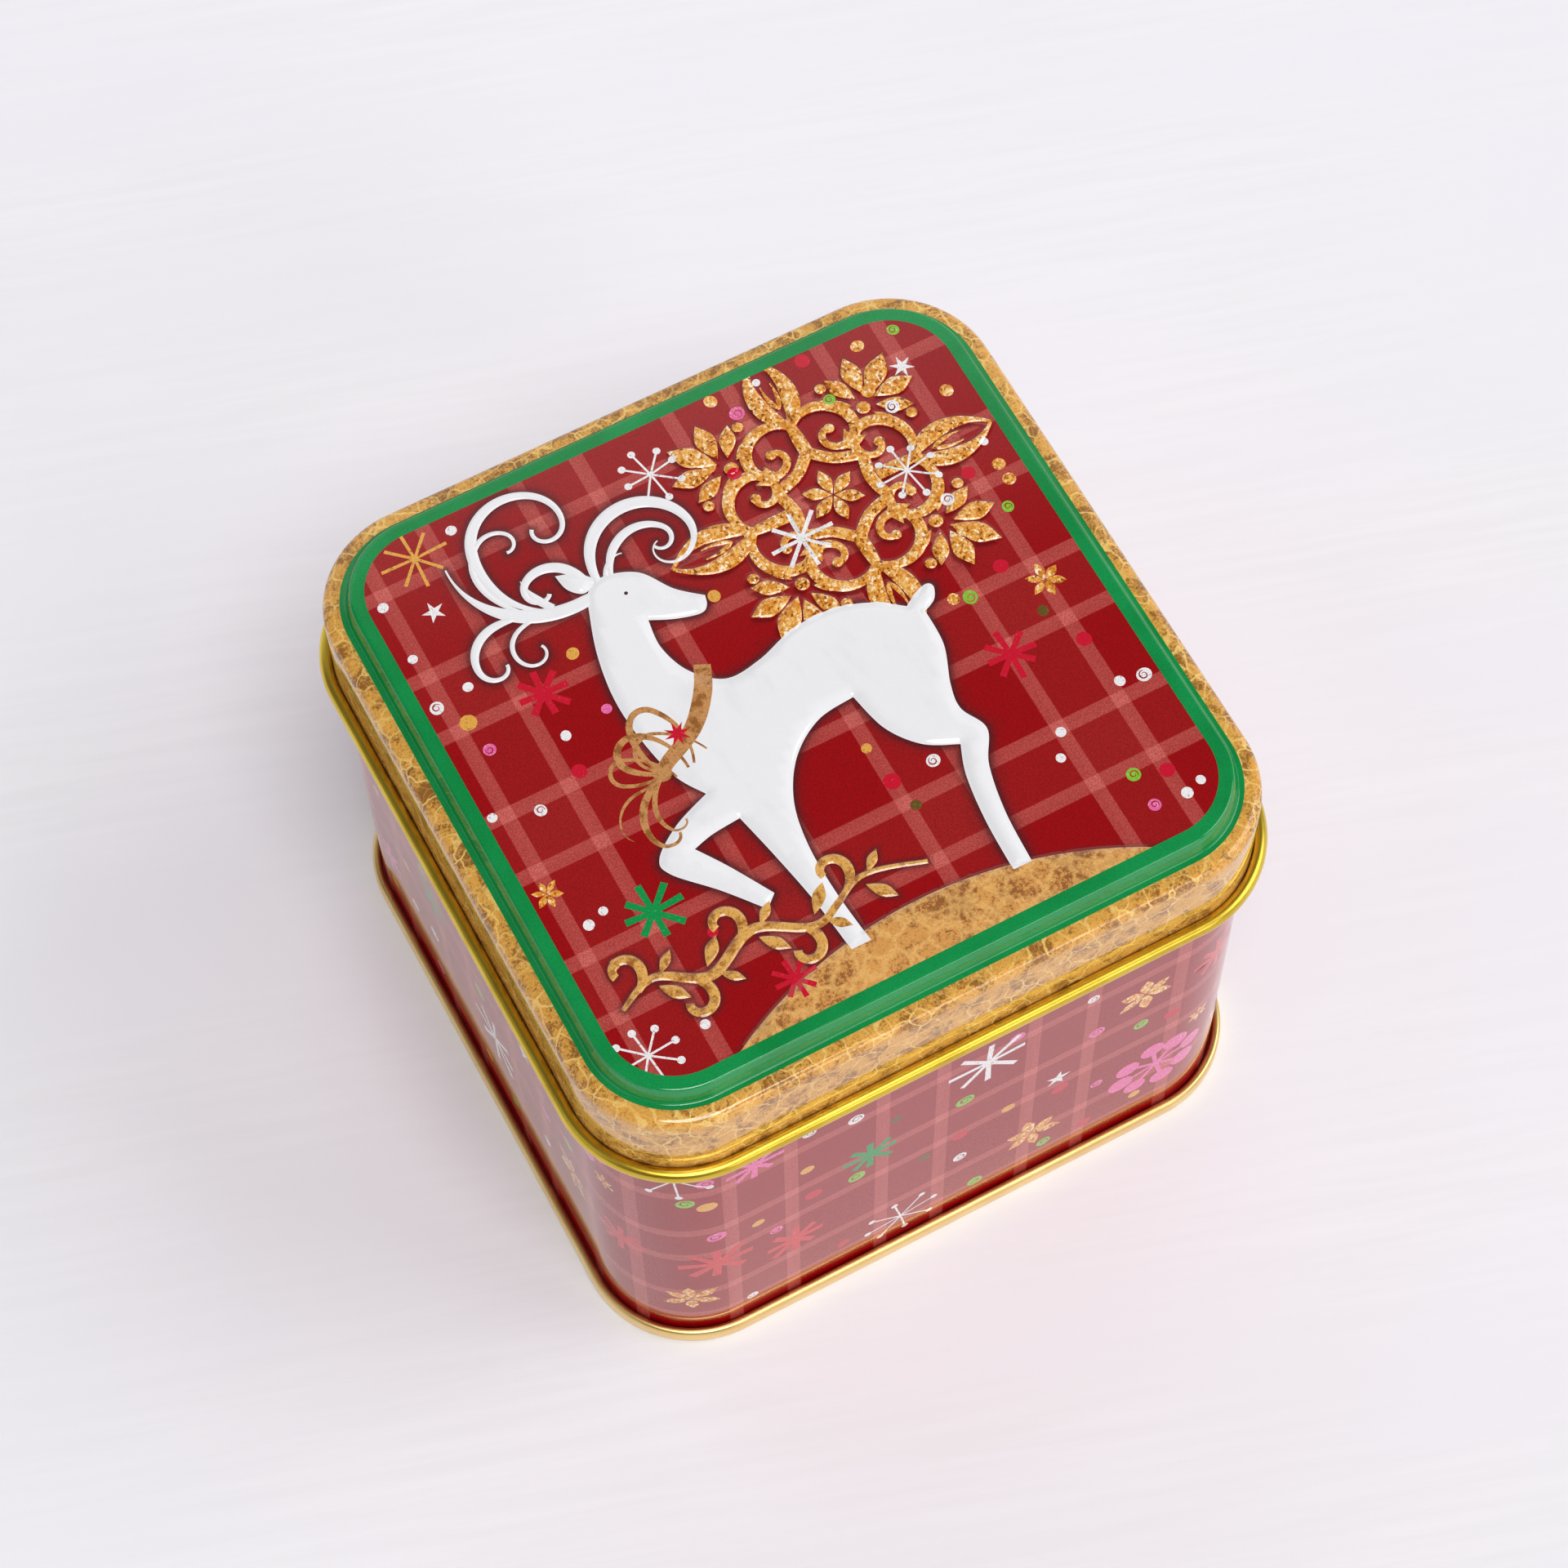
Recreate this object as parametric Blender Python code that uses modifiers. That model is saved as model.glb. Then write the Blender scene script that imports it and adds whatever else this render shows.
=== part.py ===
"""Square gift tin for cookies: a slip lid over a lock-seamed wall, with a base double-seamed to its foot.

Metres, +Z up. The origin is at the centre of the footprint, on the plane that the foot rests on.
Every sheet is a stack of rounded squares that share four corner centres, so one number, the reach,
sets each of them: the distance from the tin's axis to the flat side.
"""

import math

import bmesh
import bpy

MM = 0.001

# Tinplate and the space between neighbouring layers of it
SHEET = 0.25 * MM
SEAM_GAP = 0.26 * MM

# Plan
CORNER_CENTRE = 34.7 * MM
SKIRT_REACH = 50.0 * MM
WALL_REACH = 49.37 * MM
CORNER_STEPS = 8

# Lid, with heights counted from its shoulder
SHOULDER_HEIGHT = 79.05 * MM
PLATEAU_RISE = 2.55 * MM
PLATEAU_REACH = 45.65 * MM
PLATEAU_EDGE_RADIUS = 0.5 * MM
STEP_FOOT_RADIUS = 0.4 * MM
STEP_SLOPE = math.radians(73)
SHOULDER_EDGE_RADIUS = 1.5 * MM
SKIRT_LENGTH = 14.08 * MM
LID_CURL_RADIUS = 0.83 * MM
LID_CURL_END = math.radians(490)

# Wall
MOUTH_HEIGHT = 78.5 * MM
MOUTH_CURL_RADIUS = 0.9 * MM
MOUTH_CURL_START = math.radians(300)
LOCK_WIDTH = 4.0 * MM
LOCK_DEPTH = 0.75 * MM
LOCK_CENTRE_X = -28.0 * MM
LOCK_END_CLEARANCE = 3.4 * MM
LOCK_LINE = 0.3 * MM
LOCK_LINE_DEPTH = 0.12 * MM

# Double seam and base
SEAM_HEIGHT = 2.2 * MM
SEAM_CORNER_RADIUS = 0.5 * MM
PANEL_RECESS = 2.6 * MM
PANEL_EDGE_RADIUS = 0.5 * MM
HOOK_TOP = 1.6 * MM
HOOK_BOTTOM = 1.15 * MM

# Layers of the double seam, from the wall outwards: base hook, wall hook, base's outer side
BASE_HOOK_REACH = WALL_REACH + SEAM_GAP
WALL_HOOK_REACH = BASE_HOOK_REACH + SHEET + SEAM_GAP
SEAM_REACH = WALL_HOOK_REACH + 2 * SHEET + SEAM_GAP
CHUCK_REACH = WALL_REACH - 2 * SHEET - SEAM_GAP


def clear_scene():
    for obj in list(bpy.data.objects):
        bpy.data.objects.remove(obj, do_unlink=True)


def new_collection(name):
    collection = bpy.data.collections.new(name)
    bpy.context.scene.collection.children.link(collection)
    return collection


def metal(name, colour, roughness, metallic):
    material = bpy.data.materials.new(name)
    material.use_nodes = True
    shader = material.node_tree.nodes["Principled BSDF"]
    shader.inputs["Base Color"].default_value = (*colour, 1.0)
    shader.inputs["Roughness"].default_value = roughness
    shader.inputs["Metallic"].default_value = metallic
    return material


def arc(centre, radius, start, end, steps):
    """Points of a bend in the (reach, height) plane, both ends included."""
    turn = (end - start) / steps
    angles = [start + turn * step for step in range(steps + 1)]
    return [(centre[0] + radius * math.cos(a), centre[1] + radius * math.sin(a)) for a in angles]


def move_to_reach(vertex, reach, height):
    """Slides a vertex away from its corner centre until its rounded square has this reach."""
    centre_x = math.copysign(min(abs(vertex.co.x), CORNER_CENTRE), vertex.co.x)
    centre_y = math.copysign(min(abs(vertex.co.y), CORNER_CENTRE), vertex.co.y)
    away_x = vertex.co.x - centre_x
    away_y = vertex.co.y - centre_y
    scale = (reach - CORNER_CENTRE) / math.hypot(away_x, away_y)
    vertex.co = (centre_x + away_x * scale, centre_y + away_y * scale, height)


def rounded_plate(bm, reach):
    """A flat square face at this reach with its four corners rounded."""
    bmesh.ops.create_grid(bm, x_segments=1, y_segments=1, size=reach)
    bmesh.ops.bevel(
        bm,
        geom=bm.verts[:],
        affect="VERTICES",
        offset=reach - CORNER_CENTRE,
        offset_type="OFFSET",
        segments=CORNER_STEPS,
        profile=0.5,
    )
    bm.faces.ensure_lookup_table()
    return bm.faces[0]


def formed_sheet(name, profile, plate_faces_up, keep_plate):
    """The outer face of one sheet: a plate drawn out through each (reach, height) of the profile."""
    bm = bmesh.new()
    plate = rounded_plate(bm, profile[0][0])
    for vertex in plate.verts:
        move_to_reach(vertex, *profile[0])
    rim = plate.edges[:]
    for reach, height in profile[1:]:
        drawn = bmesh.ops.extrude_edge_only(bm, edges=rim)["geom"]
        for vertex in (item for item in drawn if isinstance(item, bmesh.types.BMVert)):
            move_to_reach(vertex, reach, height)
        rim = [e for e in drawn if isinstance(e, bmesh.types.BMEdge) and e.is_boundary]
    bmesh.ops.recalc_face_normals(bm, faces=bm.faces[:])
    if (plate.normal.z > 0) != plate_faces_up:
        bmesh.ops.reverse_faces(bm, faces=bm.faces[:])
    if not keep_plate:
        bmesh.ops.delete(bm, geom=[plate], context="FACES_ONLY")
    mesh = bpy.data.meshes.new(name)
    bm.to_mesh(mesh)
    bm.free()
    mesh.shade_smooth()
    mesh.set_sharp_from_angle(angle=math.radians(35))
    return mesh


def sheet_object(mesh, material, collection):
    """One piece of tinplate: its face mesh, thickened away from the printed side."""
    obj = bpy.data.objects.new(mesh.name, mesh)
    obj.data.materials.append(material)
    collection.objects.link(obj)
    gauge = obj.modifiers.new("gauge", "SOLIDIFY")
    gauge.thickness = SHEET
    gauge.offset = -1.0
    gauge.use_even_offset = True
    return obj


def box_object(name, size, centre, collection):
    """A box with its size in its mesh, for the lock seam's fold and its cutter."""
    bpy.ops.mesh.primitive_cube_add(size=1.0, location=centre)
    obj = bpy.context.active_object
    obj.name = name
    obj.dimensions = size
    bpy.ops.object.transform_apply(location=False, rotation=False, scale=True)
    for holder in list(obj.users_collection):
        holder.objects.unlink(obj)
    collection.objects.link(obj)
    obj.hide_render = True
    obj.display_type = "WIRE"
    return obj


def lid_profile():
    """Plateau edge, step down to the shoulder, skirt, and the curl rolled outwards at its foot."""
    lean = math.pi / 2 - STEP_SLOPE
    edge_centre = (PLATEAU_REACH, PLATEAU_RISE - PLATEAU_EDGE_RADIUS)
    plateau_edge = arc(edge_centre, PLATEAU_EDGE_RADIUS, math.pi / 2, lean, 2)
    slope_reach, slope_top = plateau_edge[-1]
    slope_drop = slope_top - STEP_FOOT_RADIUS * (1 - math.cos(STEP_SLOPE))
    foot_reach = slope_reach + slope_drop / math.tan(STEP_SLOPE) + STEP_FOOT_RADIUS * math.sin(STEP_SLOPE)
    foot_centre = (foot_reach, STEP_FOOT_RADIUS)
    step_foot = arc(foot_centre, STEP_FOOT_RADIUS, math.pi + lean, 1.5 * math.pi, 2)
    shoulder_centre = (SKIRT_REACH - SHOULDER_EDGE_RADIUS, -SHOULDER_EDGE_RADIUS)
    shoulder_edge = arc(shoulder_centre, SHOULDER_EDGE_RADIUS, math.pi / 2, 0, 3)
    curl_centre = (SKIRT_REACH + LID_CURL_RADIUS, -SKIRT_LENGTH)
    curl = arc(curl_centre, LID_CURL_RADIUS, math.pi, LID_CURL_END, 10)
    return plateau_edge + step_foot + shoulder_edge + curl


def wall_profile():
    """Mouth curl rolled inwards, the straight wall, and the hook that the base is seamed to."""
    curl_centre = (WALL_REACH - MOUTH_CURL_RADIUS, MOUTH_HEIGHT - MOUTH_CURL_RADIUS)
    curl = arc(curl_centre, MOUTH_CURL_RADIUS, MOUTH_CURL_START, 0, 9)
    turn_radius = (WALL_HOOK_REACH - WALL_REACH) / 2
    turn_height = 2 * SHEET + SEAM_GAP + turn_radius
    turn = arc((WALL_REACH + turn_radius, turn_height), turn_radius, math.pi, 2 * math.pi, 5)
    return curl + turn + [(WALL_HOOK_REACH, HOOK_TOP)]


def base_profile():
    """Recessed panel's underside, chuck wall, foot, and the outer side hooked over the wall."""
    panel_centre = (CHUCK_REACH - PANEL_EDGE_RADIUS, PANEL_RECESS - PANEL_EDGE_RADIUS)
    panel_edge = arc(panel_centre, PANEL_EDGE_RADIUS, math.pi / 2, 0, 2)
    inside_centre = (CHUCK_REACH + SEAM_CORNER_RADIUS, SEAM_CORNER_RADIUS)
    foot_inside = arc(inside_centre, SEAM_CORNER_RADIUS, math.pi, 1.5 * math.pi, 2)
    outside_centre = (SEAM_REACH - SEAM_CORNER_RADIUS, SEAM_CORNER_RADIUS)
    foot_outside = arc(outside_centre, SEAM_CORNER_RADIUS, -math.pi / 2, 0, 2)
    crown_radius = (SEAM_REACH - BASE_HOOK_REACH) / 2
    crown_centre = (SEAM_REACH - crown_radius, SEAM_HEIGHT - crown_radius)
    crown = arc(crown_centre, crown_radius, 0, math.pi, 6)
    return panel_edge + foot_inside + foot_outside + crown + [(BASE_HOOK_REACH, HOOK_BOTTOM)]


def make_lid(collection):
    mesh = formed_sheet("lid", lid_profile(), plate_faces_up=True, keep_plate=True)
    lid = sheet_object(mesh, metal("lid_print", (0.55, 0.03, 0.04), 0.3, 0.0), collection)
    lid.location.z = SHOULDER_HEIGHT
    return lid


def make_wall(collection, cutters):
    mesh = formed_sheet("body_wall", wall_profile(), plate_faces_up=True, keep_plate=False)
    wall = sheet_object(mesh, metal("wall_print", (0.5, 0.03, 0.03), 0.25, 0.0), collection)
    add_lock_seam(wall, cutters)
    return wall


def add_lock_seam(wall, cutters):
    """The wall's two ends folded into each other: a strip inside the back face, a fine line outside."""
    low = LOCK_END_CLEARANCE
    high = MOUTH_HEIGHT - LOCK_END_CLEARANCE
    middle = (low + high) / 2
    inside = WALL_REACH - SHEET / 2
    depth = LOCK_DEPTH + SHEET / 2
    strip = box_object(
        "lock_strip",
        (LOCK_WIDTH, depth, high - low),
        (LOCK_CENTRE_X, inside - depth / 2, middle),
        cutters,
    )
    line = box_object(
        "lock_line",
        (LOCK_LINE, 2 * LOCK_LINE_DEPTH, high - low),
        (LOCK_CENTRE_X + LOCK_WIDTH / 2 - LOCK_LINE, WALL_REACH, middle),
        cutters,
    )
    for operation, other in (("UNION", strip), ("DIFFERENCE", line)):
        fold = wall.modifiers.new(other.name, "BOOLEAN")
        fold.operation = operation
        fold.solver = "EXACT"
        fold.object = other


def make_base(collection):
    mesh = formed_sheet("base_plate", base_profile(), plate_faces_up=False, keep_plate=True)
    return sheet_object(mesh, metal("gold_lacquer", (0.83, 0.6, 0.22), 0.25, 1.0), collection)


def main():
    clear_scene()
    tin = new_collection("cookie_tin")
    cutters = new_collection("cutters")
    make_lid(tin)
    make_wall(tin, cutters)
    make_base(tin)


main()
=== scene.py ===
"""Looks of the square gift tin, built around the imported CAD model.

Sizes are millimetres in the CAD's frame, and MM turns them into metres where a mesh is made. Angles are
degrees. Every sheet is a stack of rounded squares about four shared corner centres. A place on one is a run
(how far round the tin it lies), a reach (from the axis to the flat side) and a height.
"""

import math
import random

import bmesh
import bpy
import numpy as np
from mathutils import Matrix, Vector, geometry, kdtree


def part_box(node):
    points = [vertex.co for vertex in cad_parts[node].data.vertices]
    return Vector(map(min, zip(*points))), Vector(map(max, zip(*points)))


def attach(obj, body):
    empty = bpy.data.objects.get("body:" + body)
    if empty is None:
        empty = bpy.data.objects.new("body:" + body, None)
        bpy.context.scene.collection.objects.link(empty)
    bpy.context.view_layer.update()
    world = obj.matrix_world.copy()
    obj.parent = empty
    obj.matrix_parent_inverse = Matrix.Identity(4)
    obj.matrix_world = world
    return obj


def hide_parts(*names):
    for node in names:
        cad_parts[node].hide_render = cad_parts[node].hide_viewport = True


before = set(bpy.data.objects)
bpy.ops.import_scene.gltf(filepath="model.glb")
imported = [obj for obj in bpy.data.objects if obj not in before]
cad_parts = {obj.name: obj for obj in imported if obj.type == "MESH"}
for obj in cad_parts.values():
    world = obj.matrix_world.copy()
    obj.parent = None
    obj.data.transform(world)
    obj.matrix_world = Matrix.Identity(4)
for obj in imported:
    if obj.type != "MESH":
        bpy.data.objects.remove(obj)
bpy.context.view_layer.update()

MM = 0.001
LID_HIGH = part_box("lid")[1] / MM
WALL_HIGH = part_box("body_wall")[1] / MM
BASE_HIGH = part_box("base_plate")[1] / MM

# ==== sheet sizes, as in the CAD

SHEET = 0.25
SEAM_GAP = 0.26
CORNER_CENTRE = 34.7

LID_CURL_RADIUS = 0.83
SKIRT_REACH = LID_HIGH.x - SHEET - 2 * LID_CURL_RADIUS
PLATEAU_HEIGHT = LID_HIGH.z
PLATEAU_RISE = 2.55
SHOULDER_HEIGHT = PLATEAU_HEIGHT - PLATEAU_RISE
PLATEAU_REACH = 45.65
PLATEAU_EDGE_RADIUS = 0.5
STEP_FOOT_RADIUS = 0.4
STEP_SLOPE = 73
SHOULDER_EDGE_RADIUS = 1.5
SKIRT_LENGTH = 14.08
LID_CURL_END = 490

WALL_REACH = 49.37
MOUTH_HEIGHT = WALL_HIGH.z
MOUTH_CURL_RADIUS = 0.9
MOUTH_CURL_START = 300
LOCK_X = -28.0
LOCK_HALF_WIDTH = 2.0
LOCK_DEPTH = 0.75
LOCK_SIDE = 0.15
LOCK_END_CLEARANCE = 3.4
LOCK_TOP = MOUTH_HEIGHT - LOCK_END_CLEARANCE
LOCK_FADE = 0.2
LOCK_LINE_DEPTH = 0.12
LOCK_LINE_HALF_WIDTH = 0.15
LOCK_LINE_X = LOCK_X + LOCK_HALF_WIDTH - 2 * LOCK_LINE_HALF_WIDTH

SEAM_REACH = BASE_HIGH.x
SEAM_HEIGHT = BASE_HIGH.z
SEAM_CORNER_RADIUS = 0.5
PANEL_RECESS = 2.6
PANEL_EDGE_RADIUS = 0.5
HOOK_TOP = 1.6
HOOK_BOTTOM = 1.15
BASE_HOOK_REACH = WALL_REACH + SEAM_GAP
WALL_HOOK_REACH = BASE_HOOK_REACH + SHEET + SEAM_GAP
CHUCK_REACH = WALL_REACH - 2 * SHEET - SEAM_GAP

# The wall's printed face is straight between the turn of its hook and its rolled mouth
HOOK_TURN_RADIUS = (WALL_HOOK_REACH - WALL_REACH) / 2
FACE_LOW = 2 * SHEET + SEAM_GAP + HOOK_TURN_RADIUS
FACE_HIGH = MOUTH_HEIGHT - MOUTH_CURL_RADIUS

# One quarter of the run: a flat side, then a corner at the wall's own radius
FLAT = 2 * CORNER_CENTRE
CORNER_RADIUS = WALL_REACH - CORNER_CENTRE
QUARTER = FLAT + CORNER_RADIUS * math.pi / 2
CORNER_STEPS = 26
SIDE_STEPS = 16
# The flat rim of the plateau, and of the base's panel, that goes with its rounded edge
RIM = 0.3

# The printed green border, and the spacing of points on a drawn line
GREEN_INSIDE = 44.0
GREEN_OUTSIDE = 47.6
BRUSH_STEP = 0.35
# Where a brush line is at its fullest, as a share of its length
FULLEST = 0.35


# ==== outlines


def smooth(points, closed):
    """A fine line through these points, curved between them. A point given twice makes a corner."""
    knots = [np.array(p, float) for p in points]
    count = len(knots)
    curve = []
    for i in range(count if closed else count - 1):
        a = knots[(i - 1) % count] if closed or i > 0 else knots[0]
        b = knots[i]
        c = knots[(i + 1) % count]
        d = knots[(i + 2) % count] if closed or i + 2 < count else knots[-1]
        length = np.linalg.norm(c - b)
        if length < 1e-6:
            continue
        for t in np.arange(0, 1, 1 / max(1, round(length / BRUSH_STEP))):
            bend = (2 * a - 5 * b + 4 * c - d) * t**2 + (3 * b - a - 3 * c + d) * t**3
            curve.append(b + 0.5 * ((c - a) * t + bend))
    if not closed:
        curve.append(knots[-1])
    return np.array(curve)


def tendril(x, y, heading, bends, step=BRUSH_STEP):
    """A line from a place and heading that turns through each (sweep, first radius, last radius)."""
    line = [(x, y)]
    facing = math.radians(heading)
    for sweep, first, last in bends:
        turn = math.radians(sweep)
        steps = max(3, round(abs(turn) * (first + last) / 2 / step))
        for k in range(steps):
            radius = first + (last - first) * (k + 0.5) / steps
            facing += turn / steps / 2
            x += math.cos(facing) * radius * abs(turn) / steps
            y += math.sin(facing) * radius * abs(turn) / steps
            facing += turn / steps / 2
            line.append((x, y))
    return np.array(line)


def brush(line, width, start, end):
    """Outline of a brush line, with these shares of its full width at its start and end."""
    ahead = np.gradient(line, axis=0)
    ahead /= np.linalg.norm(ahead, axis=1)[:, None]
    aside = np.stack([-ahead[:, 1], ahead[:, 0]], axis=1)
    along = np.linspace(0, 1, len(line))
    rise, fall = np.clip(along / FULLEST, 0, 1), np.clip((along - FULLEST) / (1 - FULLEST), 0, 1)
    share = start + (1 - start) * np.sin(rise * math.pi / 2) - (1 - end) * (1 - np.cos(fall * math.pi)) / 2
    half = width / 2 * share[:, None]
    return np.concatenate([line + aside * half, (line - aside * half)[::-1]])


def disc(x, y, radius, sides=16):
    turns = np.arange(sides) * 2 * math.pi / sides
    return np.stack([x + radius * np.cos(turns), y + radius * np.sin(turns)], axis=1)


def leaf(base, tip, width):
    base, tip = np.array(base, float), np.array(tip, float)
    along = tip - base
    side = np.array([-along[1], along[0]]) / np.linalg.norm(along) * width / 2
    right = [base + along * 0.3 + side * 0.75, base + along * 0.62 + side]
    left = [base + along * 0.62 - side, base + along * 0.3 - side * 0.75]
    return smooth([base, base, *right, tip, tip, *left], closed=True)


def turned(points, degrees, centre, mirrored=False):
    """Points about the origin, mirrored left to right if asked, turned, and moved to the centre."""
    angle = math.radians(degrees)
    points = np.array(points, float) * [-1 if mirrored else 1, 1]
    turn = np.array([[math.cos(angle), math.sin(angle)], [-math.sin(angle), math.cos(angle)]])
    return points @ turn + centre


def polar(x, y, radius, degrees):
    return (x + radius * math.cos(math.radians(degrees)), y + radius * math.sin(math.radians(degrees)))


def dot(x, y, radius, hand):
    """A hand-drawn dot, a little out of round."""
    squeeze = hand.uniform(0.9, 1.0)
    return turned(disc(0, 0, radius) * [1, squeeze], hand.uniform(0, 180), (x, y))


def star(x, y, radius, points, waist, tilt=0.0):
    """A pointed star whose inner corners lie at a share of its radius."""
    spots = []
    for k in range(2 * points):
        share = waist if k % 2 else 1.0
        spots.append(polar(x, y, radius * share, 90 + tilt + 180 * k / points))
    return np.array(spots)


def bar(x, y, degrees, length, width, flare=1.0):
    """A straight arm out from a centre, as wide as given there and wider by the flare at its tip."""
    half, tip = width / 2, width * flare / 2
    return turned([(half, 0), (tip, length), (-tip, length), (-half, 0)], degrees, (x, y))


def asterisk(x, y, length, width, hand):
    """Brush strokes out from one point, each a little longer or shorter than the next."""
    strokes = []
    for k in range(8):
        reach = length * hand.uniform(0.82, 1.0)
        strokes.append(bar(x, y, 45 * k + hand.uniform(-4, 4), reach, width, flare=1.25))
    return strokes


def burst(x, y, length, hand):
    """Fine arms that end in beads."""
    parts = []
    for k in range(8):
        tilt = 45 * k + 8 + hand.uniform(-5, 5)
        reach = length * hand.uniform(0.8, 1.0)
        parts.append(bar(x, y, tilt, reach, 0.3))
        parts.append(disc(*polar(x, y, reach, tilt + 90), 0.55, sides=12))
    return parts


# ==== the deer, a plain design of its own

DEER_BODY = [
    (-14, 25.5), (-9.6, 23.8), (-6.6, 19.4), (-3.4, 16.5), (-3.4, 16.5), (-3.9, 15), (-5.2, 14.3),
    (-8.6, 15.2), (-11.8, 16.7), (-11.8, 16.7), (-12.2, 12.2), (-10.6, 7.4), (-6.8, 4), (-1.6, 4.4),
    (4.4, 6.4), (10.4, 6.6), (15.6, 4.9), (19.4, 2.2), (19.4, 2.2), (21, 3.2), (23.2, 4), (24, 3.2),
    (23.1, 1.4), (21.2, 0.4), (21.2, 0.4), (20.9, -5.2), (18.8, -10.8), (18.2, -14.6), (19.8, -18.8),
    (17.4, -23.6), (15.9, -30.6), (15.4, -38.4), (15.4, -38.4), (12.7, -38.4), (12.7, -38.4), (13, -30.6),
    (14, -23.6), (15.6, -19.2), (15.6, -19.2), (11.2, -16.8), (8, -12.4), (6.6, -6.4), (6.6, -6.4),
    (1, -7.2), (-4, -10.6), (-7.4, -16), (-8.8, -22.4), (-8.9, -30), (-8.2, -38.4), (-8.2, -38.4),
    (-11, -38.4), (-11, -38.4), (-11.9, -30), (-13.4, -21.6), (-14.8, -15), (-14.8, -15),
    (-19, -15.4), (-22, -16.2), (-22, -16.2), (-19.2, -20.6), (-15.9, -26.6), (-15.9, -26.6),
    (-17.7, -28.2), (-17.7, -28.2), (-21.8, -23), (-26.4, -17.9), (-26.6, -15.2), (-22.4, -12),
    (-17, -9.8), (-17, -9.8), (-19.4, -5.6), (-20.8, 1), (-21.2, 8), (-20.2, 15), (-18.2, 21.4),
    (-16.8, 24.4),
]
DEER_EAR = [
    (-14.9, 25.4), (-14.9, 25.4), (-17, 27.6), (-19.7, 28.6), (-19.7, 28.6), (-19.2, 26), (-17.4, 24.4),
]
DEER_EYE = (-12.6, 21.6, 0.28)

# Each scroll: where it starts, its heading, its bends as (sweep, first radius, last radius), its width, and
# the shares of that width at its start and end
ANTLERS = [
    (-15.6, 23.2, 174, [(10, 14, 14), (-54, 15, 12), (-44, 12, 12)], 2.1, 0.8, 0.12),
    (
        -23.2, 24.6, 152, [(-46, 9, 10), (-36, 14, 10), (-100, 7.4, 6.8), (-80, 5.8, 4.4), (-200, 2.9, 1.2)],
        1.6, 0.2, 0.35,
    ),
    (-26.2, 26, 134, [(-38, 12, 9), (-60, 7, 5.4), (-78, 3.6, 2.8), (-150, 2, 1.1)], 0.95, 0.5, 0.5),
    (-25.6, 24.8, 158, [(26, 11, 9), (92, 6, 4.2), (184, 2.6, 1)], 1.25, 0.3, 0.4),
    (-23.6, 23.9, 170, [(34, 8, 6), (110, 3.8, 2.7), (172, 2.2, 1.2)], 0.65, 0.8, 0.6),
    (-22, 24.4, 132, [(-42, 8, 9)], 1.2, 0.8, 0.1),
    (-16, 24.6, 98, [(34, 9, 7), (84, 4.8, 3.6), (206, 2.5, 1.1)], 1.5, 0.35, 0.4),
    (
        -15, 24.4, 94, [(-28, 11, 9), (-62, 8.2, 7.6), (-80, 7.4, 6.8), (-84, 5, 4.2), (-190, 3, 1.3)],
        1.9, 0.5, 0.1,
    ),
    (-13.2, 24.2, 84, [(-60, 7.2, 6.6), (-74, 5.4, 4.2), (-206, 2.2, 1)], 1.3, 0.4, 0.35),
    (-14, 24.6, 72, [(-30, 6, 5), (-60, 2.6, 2)], 0.8, 0.8, 0.2),
]
COLLAR = [(-8.6, 7.4), (-10.6, 3.4), (-14.4, -0.8), (-20.4, -4)]
BOW = [
    (-20.6, -4.4, 118, [(-34, 12, 9), (-14, 8, 8), (-120, 2.3, 2.1), (-64, 9, 9)], 0.95, 0.5, 0.4),
    (-20.9, -4.2, 134, [(-10, 12, 12), (-148, 2.6, 2.4), (-44, 11, 9)], 0.55, 0.6, 0.5),
    (-20.8, -4.4, 160, [(-30, 9, 7), (-170, 2.7, 2.5), (-52, 10, 8)], 1, 0.5, 0.4),
    (-21, -4.8, 186, [(-40, 9, 6), (-168, 1.9, 1.9), (-52, 9, 8)], 0.6, 0.6, 0.5),
    (-20.8, -5, 196, [(10, 12, 9), (62, 7, 6), (44, 4.2, 3.4), (140, 1.9, 1)], 1.05, 0.6, 0.4),
    (-21, -5, 214, [(36, 8, 6), (60, 5, 3.2), (150, 1.5, 0.8)], 0.7, 0.6, 0.4),
    (-21.4, -4.8, 204, [(-22, 9, 8), (70, 5, 4.4), (60, 3.2, 2.4)], 0.45, 0.6, 0.3),
]


def scrolls(table):
    """The outlines of a table's scrolls."""
    return [brush(tendril(x, y, heading, bends), *stroke) for x, y, heading, bends, *stroke in table]


def deer_shapes():
    return [smooth(DEER_BODY, closed=True), smooth(DEER_EAR, closed=True)]


def bow_shapes():
    """The collar, the bow's loops and ends, and its knot."""
    return [brush(smooth(COLLAR, closed=False), 2.5, 0.9, 0.8), *scrolls(BOW), disc(-20.6, -4.4, 1.3)]


# ==== the ornament, flourish and hill

ORNAMENT = (19.0, 22.0)


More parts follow.
